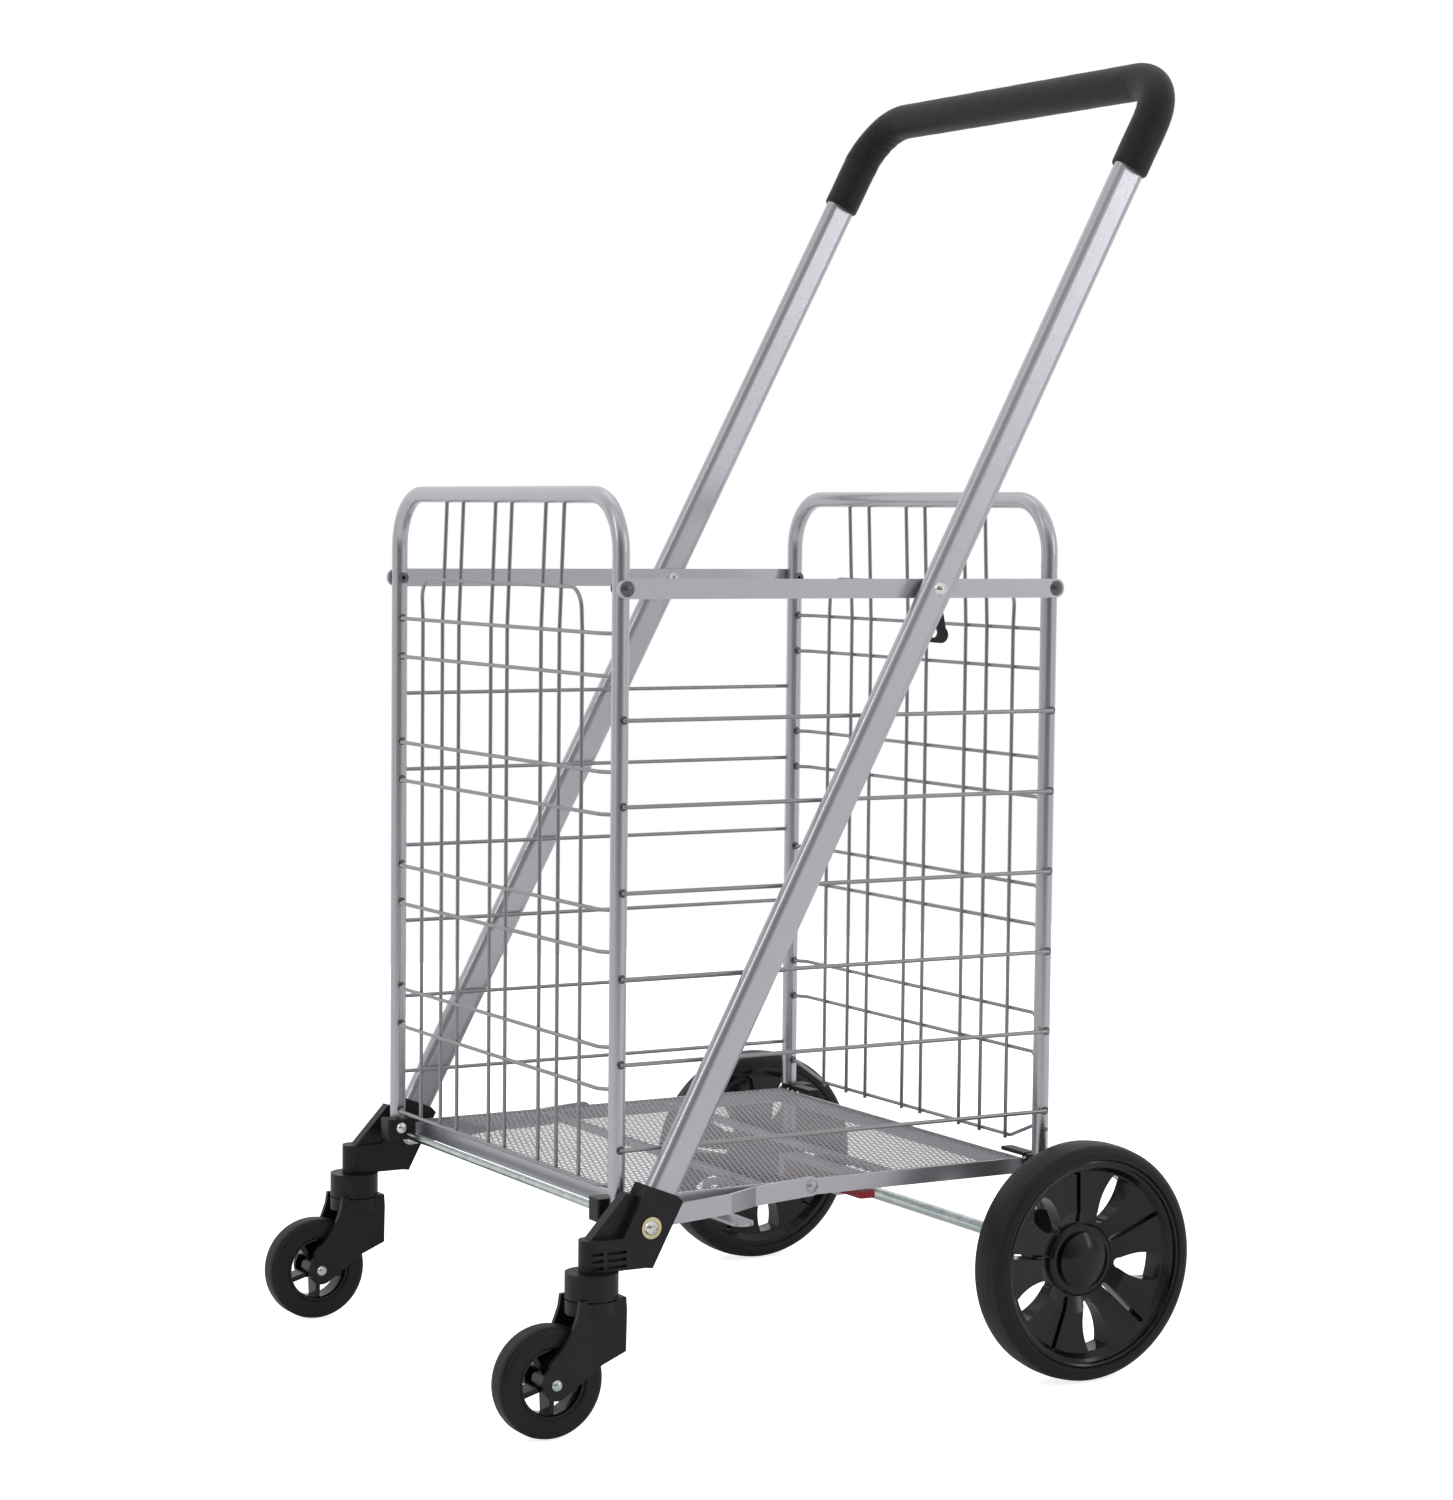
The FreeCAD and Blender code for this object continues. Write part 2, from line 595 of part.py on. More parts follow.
def link_nut():
    """The thin nut inside the link's front end, with the stub of bolt that fills the link's hole."""
    inner_face = LINK_INNER_FRONT - NUT_THICK
    stub = rod_x(BOLT_RADIUS, inner_face, LINK_OUTER_FRONT, BOLT_Y, BOLT_Z)
    corners = []
    for side in range(6):
        turn = math.radians(60 * side)
        corners.append((BOLT_Y + NUT_RADIUS * math.cos(turn), BOLT_Z + NUT_RADIUS * math.sin(turn)))
    return fused([stub, slab(corners, inner_face, LINK_INNER_FRONT)])


# ---- handle -----------------------------------------------------------------------------------
def in_handle_plane(shape):
    """Lay a shape drawn with X across and Y along the tube into the handle's leaning plane."""
    placed = shape.copy()
    turn = FreeCAD.Rotation(ACROSS, 90.0 - math.degrees(HANDLE_LEAN))
    placed.Placement = FreeCAD.Placement(V(0, BOLT_Y, BOLT_Z), turn)
    return placed


def handle_point(along, across=0.0):
    """Y and Z of a point beside the tube, measured up from the bolt and square to the tube."""
    y = BOLT_Y + along * math.sin(HANDLE_LEAN) - across * math.cos(HANDLE_LEAN)
    z = BOLT_Z + along * math.cos(HANDLE_LEAN) + across * math.sin(HANDLE_LEAN)
    return y, z


def handle_run(profile, foot, bend):
    corners = [(-HANDLE_X, foot), (-HANDLE_X, HANDLE_TOP), (HANDLE_X, HANDLE_TOP), (HANDLE_X, foot)]
    path = bent_path([V(x, y, 0) for x, y in corners], bend)
    return path.makePipeShell([profile], True, False)


def handle_solid():
    start = V(-HANDLE_X, HANDLE_FOOT, 0)
    return handle_run(oval_wire(HANDLE_WIDE, HANDLE_THICK, start), HANDLE_FOOT, HANDLE_BEND)


def handle_tube():
    wall = 2 * HANDLE_WALL
    low = HANDLE_FOOT - 1.0
    inner = oval_wire(HANDLE_WIDE - wall, HANDLE_THICK - wall, V(-HANDLE_X, low, 0))
    tube = in_handle_plane(handle_solid().cut(handle_run(inner, low, HANDLE_BEND)))
    drill = [
        rod_x(RIVET, HANDLE_INNER - 1, HANDLE_OUTER + 1, HANDLE_RIVET_Y, BAR_Z),
        rod_x(BOLT_RADIUS, HANDLE_INNER - 1, HANDLE_OUTER + 1, BOLT_Y, BOLT_Z),
    ]
    return tube.cut(drill + [mirrored(hole) for hole in drill])


def handle_grip():
    """The foam sleeve over the top of the handle."""
    circle = Part.Wire(Part.makeCircle(GRIP_RADIUS, V(-HANDLE_X, GRIP_START, 0), ALONG))
    sleeve = handle_run(circle, GRIP_START, HANDLE_BEND)
    return in_handle_plane(sleeve.cut(handle_solid()))


def handle_rivet():
    return flared_rivet(HANDLE_RIVET_Y, BAR_Z, BAR_INNER - FACE_GAP, HANDLE_OUTER, 5.4, 3.2)


def handle_spacer():
    return ring_x(7.0, RIVET, BAR_OUTER + 0.4, HANDLE_INNER, HANDLE_RIVET_Y, BAR_Z)


def lock_hook():
    """A flat plastic hook that hangs from the handle rivet between the side bar and the handle."""
    x0, x1 = BAR_OUTER + 0.4, HANDLE_INNER - 0.4
    y, z = HANDLE_RIVET_Y, BAR_Z
    boss = rod_x(7.5, x0, x1, y, z)
    shank = slab([(y + 1.0, z), (y + 7.4, z - 1.0), (y + 13.6, z - 30.0), (y + 5.6, z - 31.0)], x0, x1)
    bulge = rod_x(6.2, x0, x1, y + 9.6, z - 35.0)
    finger = lengthways(y + 8.0, z - 39.0, y - 1.2, z - 38.2, 2.1, x0, x1)
    tip = rod_x(2.4, x0, x1, y - 2.0, z - 37.4)
    throat = rod_x(3.9, x0 - 1, x1 + 1, y + 3.2, z - 33.2)
    hole = rod_x(RIVET + 0.2, x0 - 1, x1 + 1, y, z)
    return fused([boss, shank, bulge, finger, tip]).cut([throat, hole])


# ---- caster brackets --------------------------------------------------------------------------
def caster_bracket():
    """The plastic foot on the handle tube: sleeve, caster box with slots, and a stiffening rib."""
    x0, x1 = BRACKET_INNER, BRACKET_OUTER
    front_side, rear_side = HANDLE_WIDE / 2 + 4.0, HANDLE_WIDE / 2 + 2.6
    sleeve = slab(
        [
            handle_point(-20.0, front_side),
            handle_point(26.0, front_side),
            handle_point(29.0, -rear_side + 6.0),
            handle_point(27.0, -rear_side),
            handle_point(-25.5, -rear_side),
            (BOLT_Y - 3.5, BOX_BOTTOM),
            (BOLT_Y - 30.0, BOX_BOTTOM),
        ],
        x0,
        x1,
    )
    nose = (x1 - x0) / 2
    body = box(x0, x1, SWIVEL_Y, BOLT_Y, BOX_BOTTOM, BOX_TOP)
    round_front = rod_z(nose, HANDLE_X, SWIVEL_Y, BOX_BOTTOM, BOX_TOP)
    rib = slab(
        [
            (SWIVEL_Y - 3.0, BOX_TOP - 1.0),
            handle_point(15.0, front_side + 9.0),
            handle_point(17.0, front_side - 1.0),
            (BOLT_Y - 8.0, BOX_TOP - 1.0),
        ],
        HANDLE_X - 7.5,
        HANDLE_X + 2.5,
    )
    slots = []
    for y0, y1 in ((-34.3, -25.5), (-22.2, -6.8)):
        for z in (119.2, 124.3, 129.4):
            slots.append(box(x1 - 3.0, x1 + 1.0, FRONT_Y + y0, FRONT_Y + y1, z, z + 2.2))
    pocket = in_handle_plane(handle_solid().cut(Part.makeBox(900, 900, 60, V(-450, 60, -30))))
    stem = rod_z(6.0, HANDLE_X, SWIVEL_Y, BOX_BOTTOM - 1.0, BOX_BOTTOM + 16.0)
    bolt = rod_x(BOLT_RADIUS, x0 - 1, x1 + 1, BOLT_Y, BOLT_Z)
    return fused([sleeve, body, round_front, rib]).cut(slots + [pocket, stem, bolt])


def bracket_bolt():
    """Pan head bolt through bracket and tube; its thread goes on in the link's own stub."""
    head_x = BRACKET_OUTER + 1.2
    shank = rod_x(BOLT_RADIUS, LINK_OUTER_FRONT + 0.3, head_x, BOLT_Y, BOLT_Z)
    head = dome_x(5.6, 3.4, head_x, BOLT_Y, BOLT_Z)
    cross = [
        box(head_x + 1.6, head_x + 4.0, BOLT_Y - a, BOLT_Y + a, BOLT_Z - b, BOLT_Z + b)
        for a, b in ((0.6, 3.0), (3.0, 0.6))
    ]
    return fused([shank, head]).cut(cross)


def bracket_washer():
    return ring_x(8.0, BOLT_RADIUS, BRACKET_OUTER, BRACKET_OUTER + 1.2, BOLT_Y, BOLT_Z)


def link_spacer():
    return ring_x(5.5, BOLT_RADIUS, LINK_OUTER_FRONT + 0.3, BRACKET_INNER, BOLT_Y, BOLT_Z)


def swivel_stem():
    """The steel stem pressed into the bracket; the caster hangs on its collar."""
    shank = rod_z(6.0, HANDLE_X, SWIVEL_Y, BOX_BOTTOM - 6.0, BOX_BOTTOM + 15.0)
    pin = rod_z(5.0, HANDLE_X, SWIVEL_Y, BOX_BOTTOM - 20.0, BOX_BOTTOM - 6.0)
    foot = rod_z(8.0, HANDLE_X, SWIVEL_Y, BOX_BOTTOM - 23.0, BOX_BOTTOM - 20.0)
    return fused([shank, pin, foot])


# ---- casters ----------------------------------------------------------------------------------
def fork_leg(x0, x1):
    """One leg of the fork, seen from the side: wide under the collar, curved down to the axle."""
    leg = slab(
        [
            (SWIVEL_Y - 17.5, COLLAR_BOTTOM),
            (SWIVEL_Y - 19.0, 90.0),
            (SWIVEL_Y - 24.0, 77.0),
            (SWIVEL_Y - 32.0, 66.0),
            (SWIVEL_Y - 40.0, 58.0),
            (CASTER_Y - 9.8, CASTER_RADIUS + 5.2),
            (CASTER_Y + 5.0, CASTER_RADIUS - 10.0),
            (SWIVEL_Y + 0.5, 52.0),
            (SWIVEL_Y + 19.6, 60.0),
            (SWIVEL_Y + 20.2, 90.0),
            (SWIVEL_Y + 19.5, COLLAR_BOTTOM),
        ],
        x0,
        x1,
    )
    return leg.fuse(rod_x(11.1, x0, x1, CASTER_Y, CASTER_RADIUS))


def caster_fork():
    """Collar, crown, two legs and the closed back of a swivel fork."""
    top = BOX_BOTTOM - 0.4
    collar = rod_z(COLLAR_RADIUS, HANDLE_X, SWIVEL_Y, CROWN_BOTTOM, top)
    neck = rod_z(COLLAR_RADIUS - 1.6, HANDLE_X, SWIVEL_Y, COLLAR_BOTTOM - 2.5, COLLAR_BOTTOM)
    ring = rod_z(COLLAR_RADIUS + 1, HANDLE_X, SWIVEL_Y, COLLAR_BOTTOM - 2.5, COLLAR_BOTTOM - 1.3)
    x0, x1 = HANDLE_X - FORK_OUTER, HANDLE_X + FORK_OUTER
    crown = slab(
        [
            (SWIVEL_Y - 12.0, COLLAR_BOTTOM),
            (SWIVEL_Y - 12.0, CROWN_BOTTOM),
            (SWIVEL_Y + 20.0, CROWN_BOTTOM),
            (SWIVEL_Y + 19.5, COLLAR_BOTTOM),
        ],
        x0,
        x1,
    )
    back = slab(
        [
            (SWIVEL_Y + 15.6, 60.0),
            (SWIVEL_Y + 19.6, 60.0),
            (SWIVEL_Y + 20.2, 90.0),
            (SWIVEL_Y + 15.6, 90.0),
        ],
        x0,
        x1,
    )
    legs = [
        fork_leg(HANDLE_X - FORK_OUTER, HANDLE_X - FORK_INNER),
        fork_leg(HANDLE_X + FORK_INNER, HANDLE_X + FORK_OUTER),
    ]
    groove = ring.cut(neck)
    bore = [
        rod_z(6.0 + PIVOT_GAP, HANDLE_X, SWIVEL_Y, BOX_BOTTOM - 6.0 - PIVOT_GAP, top + 1),
        rod_z(5.0 + PIVOT_GAP, HANDLE_X, SWIVEL_Y, CROWN_BOTTOM - 1, top),
        rod_z(8.0 + PIVOT_GAP, HANDLE_X, SWIVEL_Y, CROWN_BOTTOM - 1, BOX_BOTTOM - 20.0 + PIVOT_GAP),
    ]
    axle = rod_x(CASTER_AXLE, x0 - 1, x1 + 1, CASTER_Y, CASTER_RADIUS)
    return fused([collar, crown, back] + legs).cut(bore + [axle, groove])


def caster_axle():
    """The caster's axle bolt with a domed head at each end."""
    reach = FORK_OUTER
    shank = rod_x(CASTER_AXLE, HANDLE_X - reach, HANDLE_X + reach, CASTER_Y, CASTER_RADIUS)
    outer = dome_x(4.2, 2.2, HANDLE_X + reach, CASTER_Y, CASTER_RADIUS)
    inner = mirrored(dome_x(4.2, 2.2, reach - HANDLE_X, CASTER_Y, CASTER_RADIUS))
    return fused([shank, outer, inner])


def turned(profile_xr, y, z):
    """A solid of revolution about an axis along X, from (x, radius) points."""
    corners = [V(x, y, z + r) for x, r in profile_xr]
    face = Part.Face(Part.makePolygon(corners + corners[:1]))
    return face.revolve(V(0, y, z), ACROSS, 360)


def sector_window(angle, inner, outer, spoke_half, x0, x1, y, z):
    """A window between two straight spokes: a slice of ring with parallel gaps to the spokes."""
    half_turn = math.pi / SPOKES
    reach = 2 * outer
    corner = spoke_half / math.sin(half_turn)
    start_y, start_z = y + corner * math.cos(angle), z + corner * math.sin(angle)
    outline = [(start_y, start_z)]
    for turn in (angle - half_turn, angle + half_turn):
        outline.append((start_y + reach * math.cos(turn), start_z + reach * math.sin(turn)))
    return ring_x(outer, inner, x0, x1, y, z).common(slab(outline, x0, x1))


def caster_rim():
    """Hub, five flat spokes and outer ring of the small wheel."""
    x, hub, rim = HANDLE_X, FORK_INNER - 0.3, CASTER_RIM
    body = turned(
        [
            (x - hub, CASTER_AXLE + PIVOT_GAP),
            (x - hub, 6.5),
            (x - 8.5, 7.6),
            (x - 7.0, rim - 2.6),
            (x - 9.5, rim - 1.6),
            (x - 9.5, rim),
            (x + 9.5, rim),
            (x + 9.5, rim - 1.6),
            (x + 7.0, rim - 2.6),
            (x + 8.5, 7.6),
            (x + hub, 6.5),
            (x + hub, CASTER_AXLE + PIVOT_GAP),
        ],
        CASTER_Y,
        CASTER_RADIUS,
    )
    windows = [
        sector_window(
            math.radians(18 + 72 * spoke), 8.2, rim - 2.4, 2.0, x - 20, x + 20, CASTER_Y, CASTER_RADIUS
        )
        for spoke in range(SPOKES)
    ]
    return body.cut(windows)


def caster_tyre():
    x, half, rim, outer = HANDLE_X, CASTER_HALF, CASTER_RIM, CASTER_RADIUS
    return turned(
        [
            (x - 9.5, rim),
            (x - half, rim + 1.5),
            (x - half, outer - 4.4),
            (x - half + 0.9, outer - 2.4),
            (x - half + 2.2, outer - 1.1),
            (x - half + 2.9, outer - 1.9),
            (x - half + 3.6, outer - 0.6),
            (x - half + 6.5, outer),
            (x + half - 6.5, outer),
            (x + half - 3.6, outer - 0.6),
            (x + half - 2.9, outer - 1.9),
            (x + half - 2.2, outer - 1.1),
            (x + half - 0.9, outer - 2.4),
            (x + half, outer - 4.4),
            (x + half, rim + 1.5),
            (x + 9.5, rim),
        ],
        CASTER_Y,
        CASTER_RADIUS,
    )


# ---- rear axle and wheels ---------------------------------------------------------------------
def axle_housing():
    """The plastic foot that joins the rear post to the axle."""
    block = box(HOUSING_INNER, HOUSING_OUTER, REAR_Y - 9.0, REAR_Y + 11.0, AXLE_Z - 14.0, AXLE_Z + 30.0)
    edges = [edge for edge in block.Edges if abs(edge.tangentAt(edge.FirstParameter).x) > 0.9]
    block = block.makeFillet(4.0, edges)
    post = rod_z(POST_RADIUS, POST_X, REAR_Y, REAR_LEG_BOTTOM, AXLE_Z + 40.0)
    axle = rod_x(AXLE_RADIUS, HOUSING_INNER - 1, HOUSING_OUTER + 1, REAR_Y, AXLE_Z)
    return block.cut([post, axle])


def rear_axle():
    return rod_x(AXLE_RADIUS, -HUB_FACE - 4.0, HUB_FACE + 4.0, REAR_Y, AXLE_Z)


def axle_spacer():
    return ring_x(7.5, AXLE_RADIUS, HOUSING_OUTER, SPACER_END, REAR_Y, AXLE_Z)


def axle_clip():
    """The push-on cap that keeps the wheel on its axle, under the hub cap."""
    return ring_x(8.5, AXLE_RADIUS, HUB_FACE + 0.4, HUB_FACE + 3.0, REAR_Y, AXLE_Z)


def rim_point(radius, angle, aside=0.0):
    """Y and Z of a point at a radius and direction, moved square to that direction."""
    y = REAR_Y + radius * math.cos(angle) - aside * math.sin(angle)
    z = AXLE_Z + radius * math.sin(angle) + aside * math.cos(angle)
    return V(WHEEL_INNER - 5, y, z)


def petal_window(angle):
    """A window between two spokes: bulging sides, small round foot, outer end along the rim."""
    foot, wide = 4.0, WINDOW_HALF
    belly = WINDOW_OUT - 14.0
    spread = math.asin((wide - 1.0) / WINDOW_OUT)
    left_out, right_out = rim_point(WINDOW_OUT, angle + spread), rim_point(WINDOW_OUT, angle - spread)
    left_foot = rim_point(WINDOW_IN + foot, angle, foot)
    right_foot = rim_point(WINDOW_IN + foot, angle, -foot)
    outline = Part.Wire(
        [
            Part.Arc(left_out, rim_point(belly, angle, wide), left_foot).toShape(),
            Part.Arc(left_foot, rim_point(WINDOW_IN, angle), right_foot).toShape(),
            Part.Arc(right_foot, rim_point(belly, angle, -wide), right_out).toShape(),
            Part.Arc(right_out, rim_point(WINDOW_OUT, angle), left_out).toShape(),
        ]
    )
    return Part.Face(outline).extrude(V(WHEEL_OUTER - WHEEL_INNER + 10, 0, 0))


def spoke_slit(angle):
    """The long slit down the middle of a spoke."""
    start, end = rim_point(SLIT_IN, angle), rim_point(SLIT_OUT, angle)
    return lengthways(start.y, start.z, end.y, end.z, SLIT_HALF, WHEEL_INNER - 5, WHEEL_OUTER + 5)


def rear_rim():
    """Rim ring, deep dished spokes and hub, opened by five windows and five slits."""
    inner, outer = WHEEL_INNER, WHEEL_OUTER
    body = turned(
        [
            (SPACER_END + 0.3, AXLE_RADIUS + PIVOT_GAP),
            (SPACER_END + 0.3, HUB_RADIUS - 4.0),
            (inner + 7.0, HUB_RADIUS),
            (inner + 7.0, RIM_RADIUS - 9.0),
            (inner + 2.0, RIM_RADIUS - 4.0),
            (inner + 2.0, RIM_RADIUS),
            (outer - 1.4, RIM_RADIUS),
            (outer - 0.8, RIM_RADIUS - 1.2),
            (outer - 1.4, RIM_RADIUS - 3.0),
            (outer - 4.0, RIM_RADIUS - 3.6),
            (outer - 5.2, RIM_RADIUS - 6.0),
            (outer - 9.5, RIM_RADIUS - 9.5),
            (outer - 15.0, 40.0),
            (HUB_FACE - 1.6, HUB_RADIUS + 3.0),
            (HUB_FACE, HUB_RADIUS + 1.0),
            (HUB_FACE, AXLE_RADIUS + PIVOT_GAP),
        ],
        REAR_Y,
        AXLE_Z,
    )
    cutters = []
    for spoke in range(SPOKES):
        direction = math.radians(FIRST_SPOKE + 360.0 / SPOKES * spoke)
        cutters.append(spoke_slit(direction))
        cutters.append(petal_window(direction + math.pi / SPOKES))
    return body.cut(cutters)


def rear_tyre():
    """Solid rubber tyre: flat sidewall band, fine groove, round shoulders, almost flat tread."""
    inner, outer, rim, tread = WHEEL_INNER, WHEEL_OUTER, RIM_RADIUS, WHEEL_RADIUS
    shoulder = 7.5
    half = [(outer - 1.4, rim), (outer, rim + 0.8), (outer, rim + 3.2), (outer - 0.5, rim + 3.6)]
    for step in range(7):
        turn = math.radians(90.0 * step / 6)
        half.append(
            (
                outer - 0.4 - shoulder + shoulder * math.cos(turn),
                tread - 0.7 - shoulder + shoulder * math.sin(turn),
            )
        )
    middle = (inner + outer) / 2
    half.append((middle + 4.0, tread))
    other_half = [(2 * middle - x, radius) for x, radius in reversed(half)]
    other_half[-1] = (inner + 2.0, rim)
    return turned(half + other_half, REAR_Y, AXLE_Z)


def hub_cap():
    """The glossy dome over the axle end."""
    base = HUB_FACE
    edge = rod_x(CAP_RADIUS, base, base + 3.2, REAR_Y, AXLE_Z)
    shell = fused([edge, dome_x(CAP_RADIUS, 5.2, base + 3.2, REAR_Y, AXLE_Z)])
    return shell.cut(rod_x(9.5, base - 1, base + 4.6, REAR_Y, AXLE_Z))


# ---- assembly ---------------------------------------------------------------------------------
def paired_nodes():
    """Pieces that are a node of their own on each side."""
    return {
        "front_hinge_block": hinge_block(FRONT_Y, -1, BLOCK_NEAR, BLOCK_BOTTOM - 1.0, HINGE_Z + 6.3),
        "rear_hinge_block": rear_hinge_block(),
        "side_bar": side_bar(),
        "caster_bracket": caster_bracket(),
        "brace_link": brace_link(),
        "axle_housing": axle_housing(),
        "caster_fork": caster_fork(),
        "caster_axle": caster_axle(),
        "caster_rim": caster_rim(),
        "caster_tyre": caster_tyre(),
        "rear_rim": rear_rim(),
        "rear_tyre": rear_tyre(),
        "hub_cap": hub_cap(),
    }


def grouped_nodes():
    """Small alike pieces, one node for the pair."""
    groups = {
        "front_hinge_bolts": hinge_bolt(HINGE_Y),
        "rear_hinge_bolts": hinge_bolt(HINGE_Y + DEPTH),
        "front_bar_rivets": bar_rivet(FRONT_Y),
        "rear_bar_rivets": bar_rivet(REAR_Y),
        "handle_rivets": handle_rivet(),
        "bracket_bolts": bracket_bolt(),
        "bracket_washers": bracket_washer(),
        "link_spacers": link_spacer(),
        "swivel_stems": swivel_stem(),
        "front_foot_plates": foot_plate(),
        "link_rivets": link_rivet(),
        "link_nuts": link_nut(),
        "axle_spacers": axle_spacer(),
        "axle_clips": axle_clip(),
    }
    for level, height in enumerate(side_wire_heights(), start=1):
        groups[f"side_wires_{level}"] = side_wire(height)
    return groups


def single_nodes():
    lowest_rear = ROW_BOTTOM + JOG_RISE
    return {
        "front_frame_tube": frame_tube(FRONT_Y, -1, FRONT_LEG_BOTTOM, ROW_BOTTOM),
        "front_wire_panel": wire_panel(FRONT_Y, -1, 0.0, POST_INNER + 3.0),
        "front_cross_rod": rod_x(ROD_RADIUS, -BLOCK_INNER, BLOCK_INNER, ROD_Y, ROD_Z),
        "rear_frame_tube": frame_tube(REAR_Y, 1, REAR_LEG_BOTTOM, lowest_rear),
        "rear_wire_panel": wire_panel(REAR_Y, 1, JOG_RISE, POST_OUTER + 2.0),
        "rear_axle": rear_axle(),
        "handle_tube": handle_tube(),
        "handle_grip": handle_grip(),
        "handle_spacer": mirrored(handle_spacer()),
        "lock_hook": lock_hook(),
        "platform_frame": platform_frame(),
        "platform_mesh": platform_mesh(),
        "fold_pedal": fold_pedal(),
        "release_slide": release_slide(),
    }


def main():
    os.makedirs("parts", exist_ok=True)
    nodes = single_nodes()
    for name, shape in paired_nodes().items():
        nodes[f"{name}_left"] = shape
        nodes[f"{name}_right"] = mirrored(shape)
    for name, shape in grouped_nodes().items():
        nodes[name] = Part.makeCompound(both_sides(shape))
    for name, shape in sorted(nodes.items()):
        shape.exportStep(f"parts/{name}.step")
        problem = "" if shape.isValid() else "  NOT VALID"
        print(f"{name:24s} {len(shape.Solids):2d} solids {shape.Volume / 1000:9.2f} cm3{problem}")
    print(len(nodes), "nodes")


main()
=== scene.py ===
import json
import math

import bmesh
import bpy
from mathutils import Matrix, Vector


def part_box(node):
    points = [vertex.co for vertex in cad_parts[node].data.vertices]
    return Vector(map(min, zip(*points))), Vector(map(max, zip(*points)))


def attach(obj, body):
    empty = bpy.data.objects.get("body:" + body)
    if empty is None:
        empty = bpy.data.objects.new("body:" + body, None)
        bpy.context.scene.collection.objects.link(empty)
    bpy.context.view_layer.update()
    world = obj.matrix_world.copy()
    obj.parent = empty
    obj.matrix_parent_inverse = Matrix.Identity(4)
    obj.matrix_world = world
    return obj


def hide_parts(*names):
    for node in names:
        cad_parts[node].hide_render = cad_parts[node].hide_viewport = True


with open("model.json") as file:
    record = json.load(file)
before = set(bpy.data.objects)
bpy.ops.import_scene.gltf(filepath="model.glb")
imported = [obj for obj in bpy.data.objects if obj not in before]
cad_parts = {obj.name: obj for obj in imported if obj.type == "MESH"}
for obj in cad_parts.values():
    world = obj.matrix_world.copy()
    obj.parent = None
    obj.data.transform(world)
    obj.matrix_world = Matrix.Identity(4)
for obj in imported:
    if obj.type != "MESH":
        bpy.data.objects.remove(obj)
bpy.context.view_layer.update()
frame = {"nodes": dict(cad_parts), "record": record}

# ---- camera, in metres and degrees --------------------------------------------------------------
CAMERA_AT = Vector((2.37233, -1.36057, 0.66045))
CAMERA_AZIMUTH = 59.98      # 0 looks along +Y, 90 along -X
CAMERA_PITCH = 3.92         # looking down
CAMERA_ROLL = 0.588
CAMERA_LENS = 85.385        # millimetres
CAMERA_SENSOR = 36.0        # millimetres

# ---- stage --------------------------------------------------------------------------------------
FLOOR_HALF = 2.2            # half a side of the floor
FLOOR_DROP = 0.0005         # how far it lies under the wheels
FLOOR_GLOW = 0.80
# Pairs of place and brightness: 0 is the near side or straight down, 1 the far side or straight up.
COVE_STOPS = [(0.0, 0.12), (0.24, 0.84), (0.45, 0.50), (0.66, 0.85)]
OVERHEAD_STOPS = [(0.50, 0.0), (0.75, 0.03), (1.0, 0.14)]

# ---- expanded metal deck, in metres -------------------------------------------------------------
MESH_PITCH_X = 0.0118       # one diamond along X
MESH_ROW = 0.0023           # half a diamond along Y
MESH_STRAND = 0.00068       # width of a strand
MESH_TILT = 0.5             # radians that a strand leans
MESH_HALF_THICK = 0.27      # half a strand's thickness, as a share of its width
MESH_SUNK = 0.75            # depth of the strands' middle below the deck's top, in widths
MESH_INSET = 0.3            # how much a strand's swing is cut, in widths
MESH_WAVE = 0.0002          # rise and fall of a strand at its peaks

# ---- basket wires and posts, in metres ----------------------------------------------------------
WIRE_RADIUS = 0.0015
ROW_TOP = 0.5735            # the upper wire of the first pair of rows
ROW_PITCH = 0.1003
ROW_GAP = 0.0308
ROW_PAIRS = 4
ROW_BOTTOM = 0.171
REAR_JOG = 0.014            # the rear panel's lowest row climbs this far to its posts
COLUMN_X = (0.014, 0.071, 0.101, 0.1375)
COLUMN_INSET = 0.0025       # from the middle of a row wire to the middle of a column wire
POST_DIAMETER = 0.0127
SIDE_WIRE_LEVELS = 6
BEAD_RADIUS = 0.0021
BEAD_SHAPE = (1.0, 0.75, 0.8, 1.0)
# eyelet rings are dark rings of painted shade for the wire holes in the posts
EYELET_RADIUS = 0.0026
EYELET_LIP = 0.0008
EYELET_SUNK = 0.4           # part of the lip that lies inside the post

# ---- foam grip, in metres and radians -----------------------------------------------------------
HANDLE_LEAN = math.radians(28.04)
GRIP_RADIUS = 0.015
GRIP_BEND = 0.043
GRIP_SIDES = 48
GRIP_STEP = 0.0016
GRIP_LIP = 0.0022           # length of the rounded lip at each end
GRIP_LIP_DROP = 0.0016
GRIP_FOLDS_AT = 0.072       # middle of the folded stretch, from the nearer end
GRIP_FOLDS_REACH = 0.040
GRIP_FOLD_DEPTH = 0.0009
GRIP_FOLD_WAVES = 620.0     # radians per metre
GRIP_FOLDS_FACE = 0.05      # the folds face a point this far below the bar's middle
GRIP_SEAM = 0.040           # the crease in the right leg of the grip, from its end
GRIP_SEAM_SLANT = 0.0045
GRIP_SEAM_WIDTH = 0.0009
GRIP_SEAM_DEPTH = 0.0010
GRIP_SWELL = 0.004          # the raised stretch beside the crease
GRIP_SWELL_HEIGHT = 0.0003
GRIP_RIPPLE = 0.00005

# ---- finishes -----------------------------------------------------------------------------------
NOISE_ROUGHNESS = 0.55
SOFT_SPECULAR = 0.3         # for plastic, rubber and foam
CAD_SMOOTH_ANGLE = 32.0     # degrees


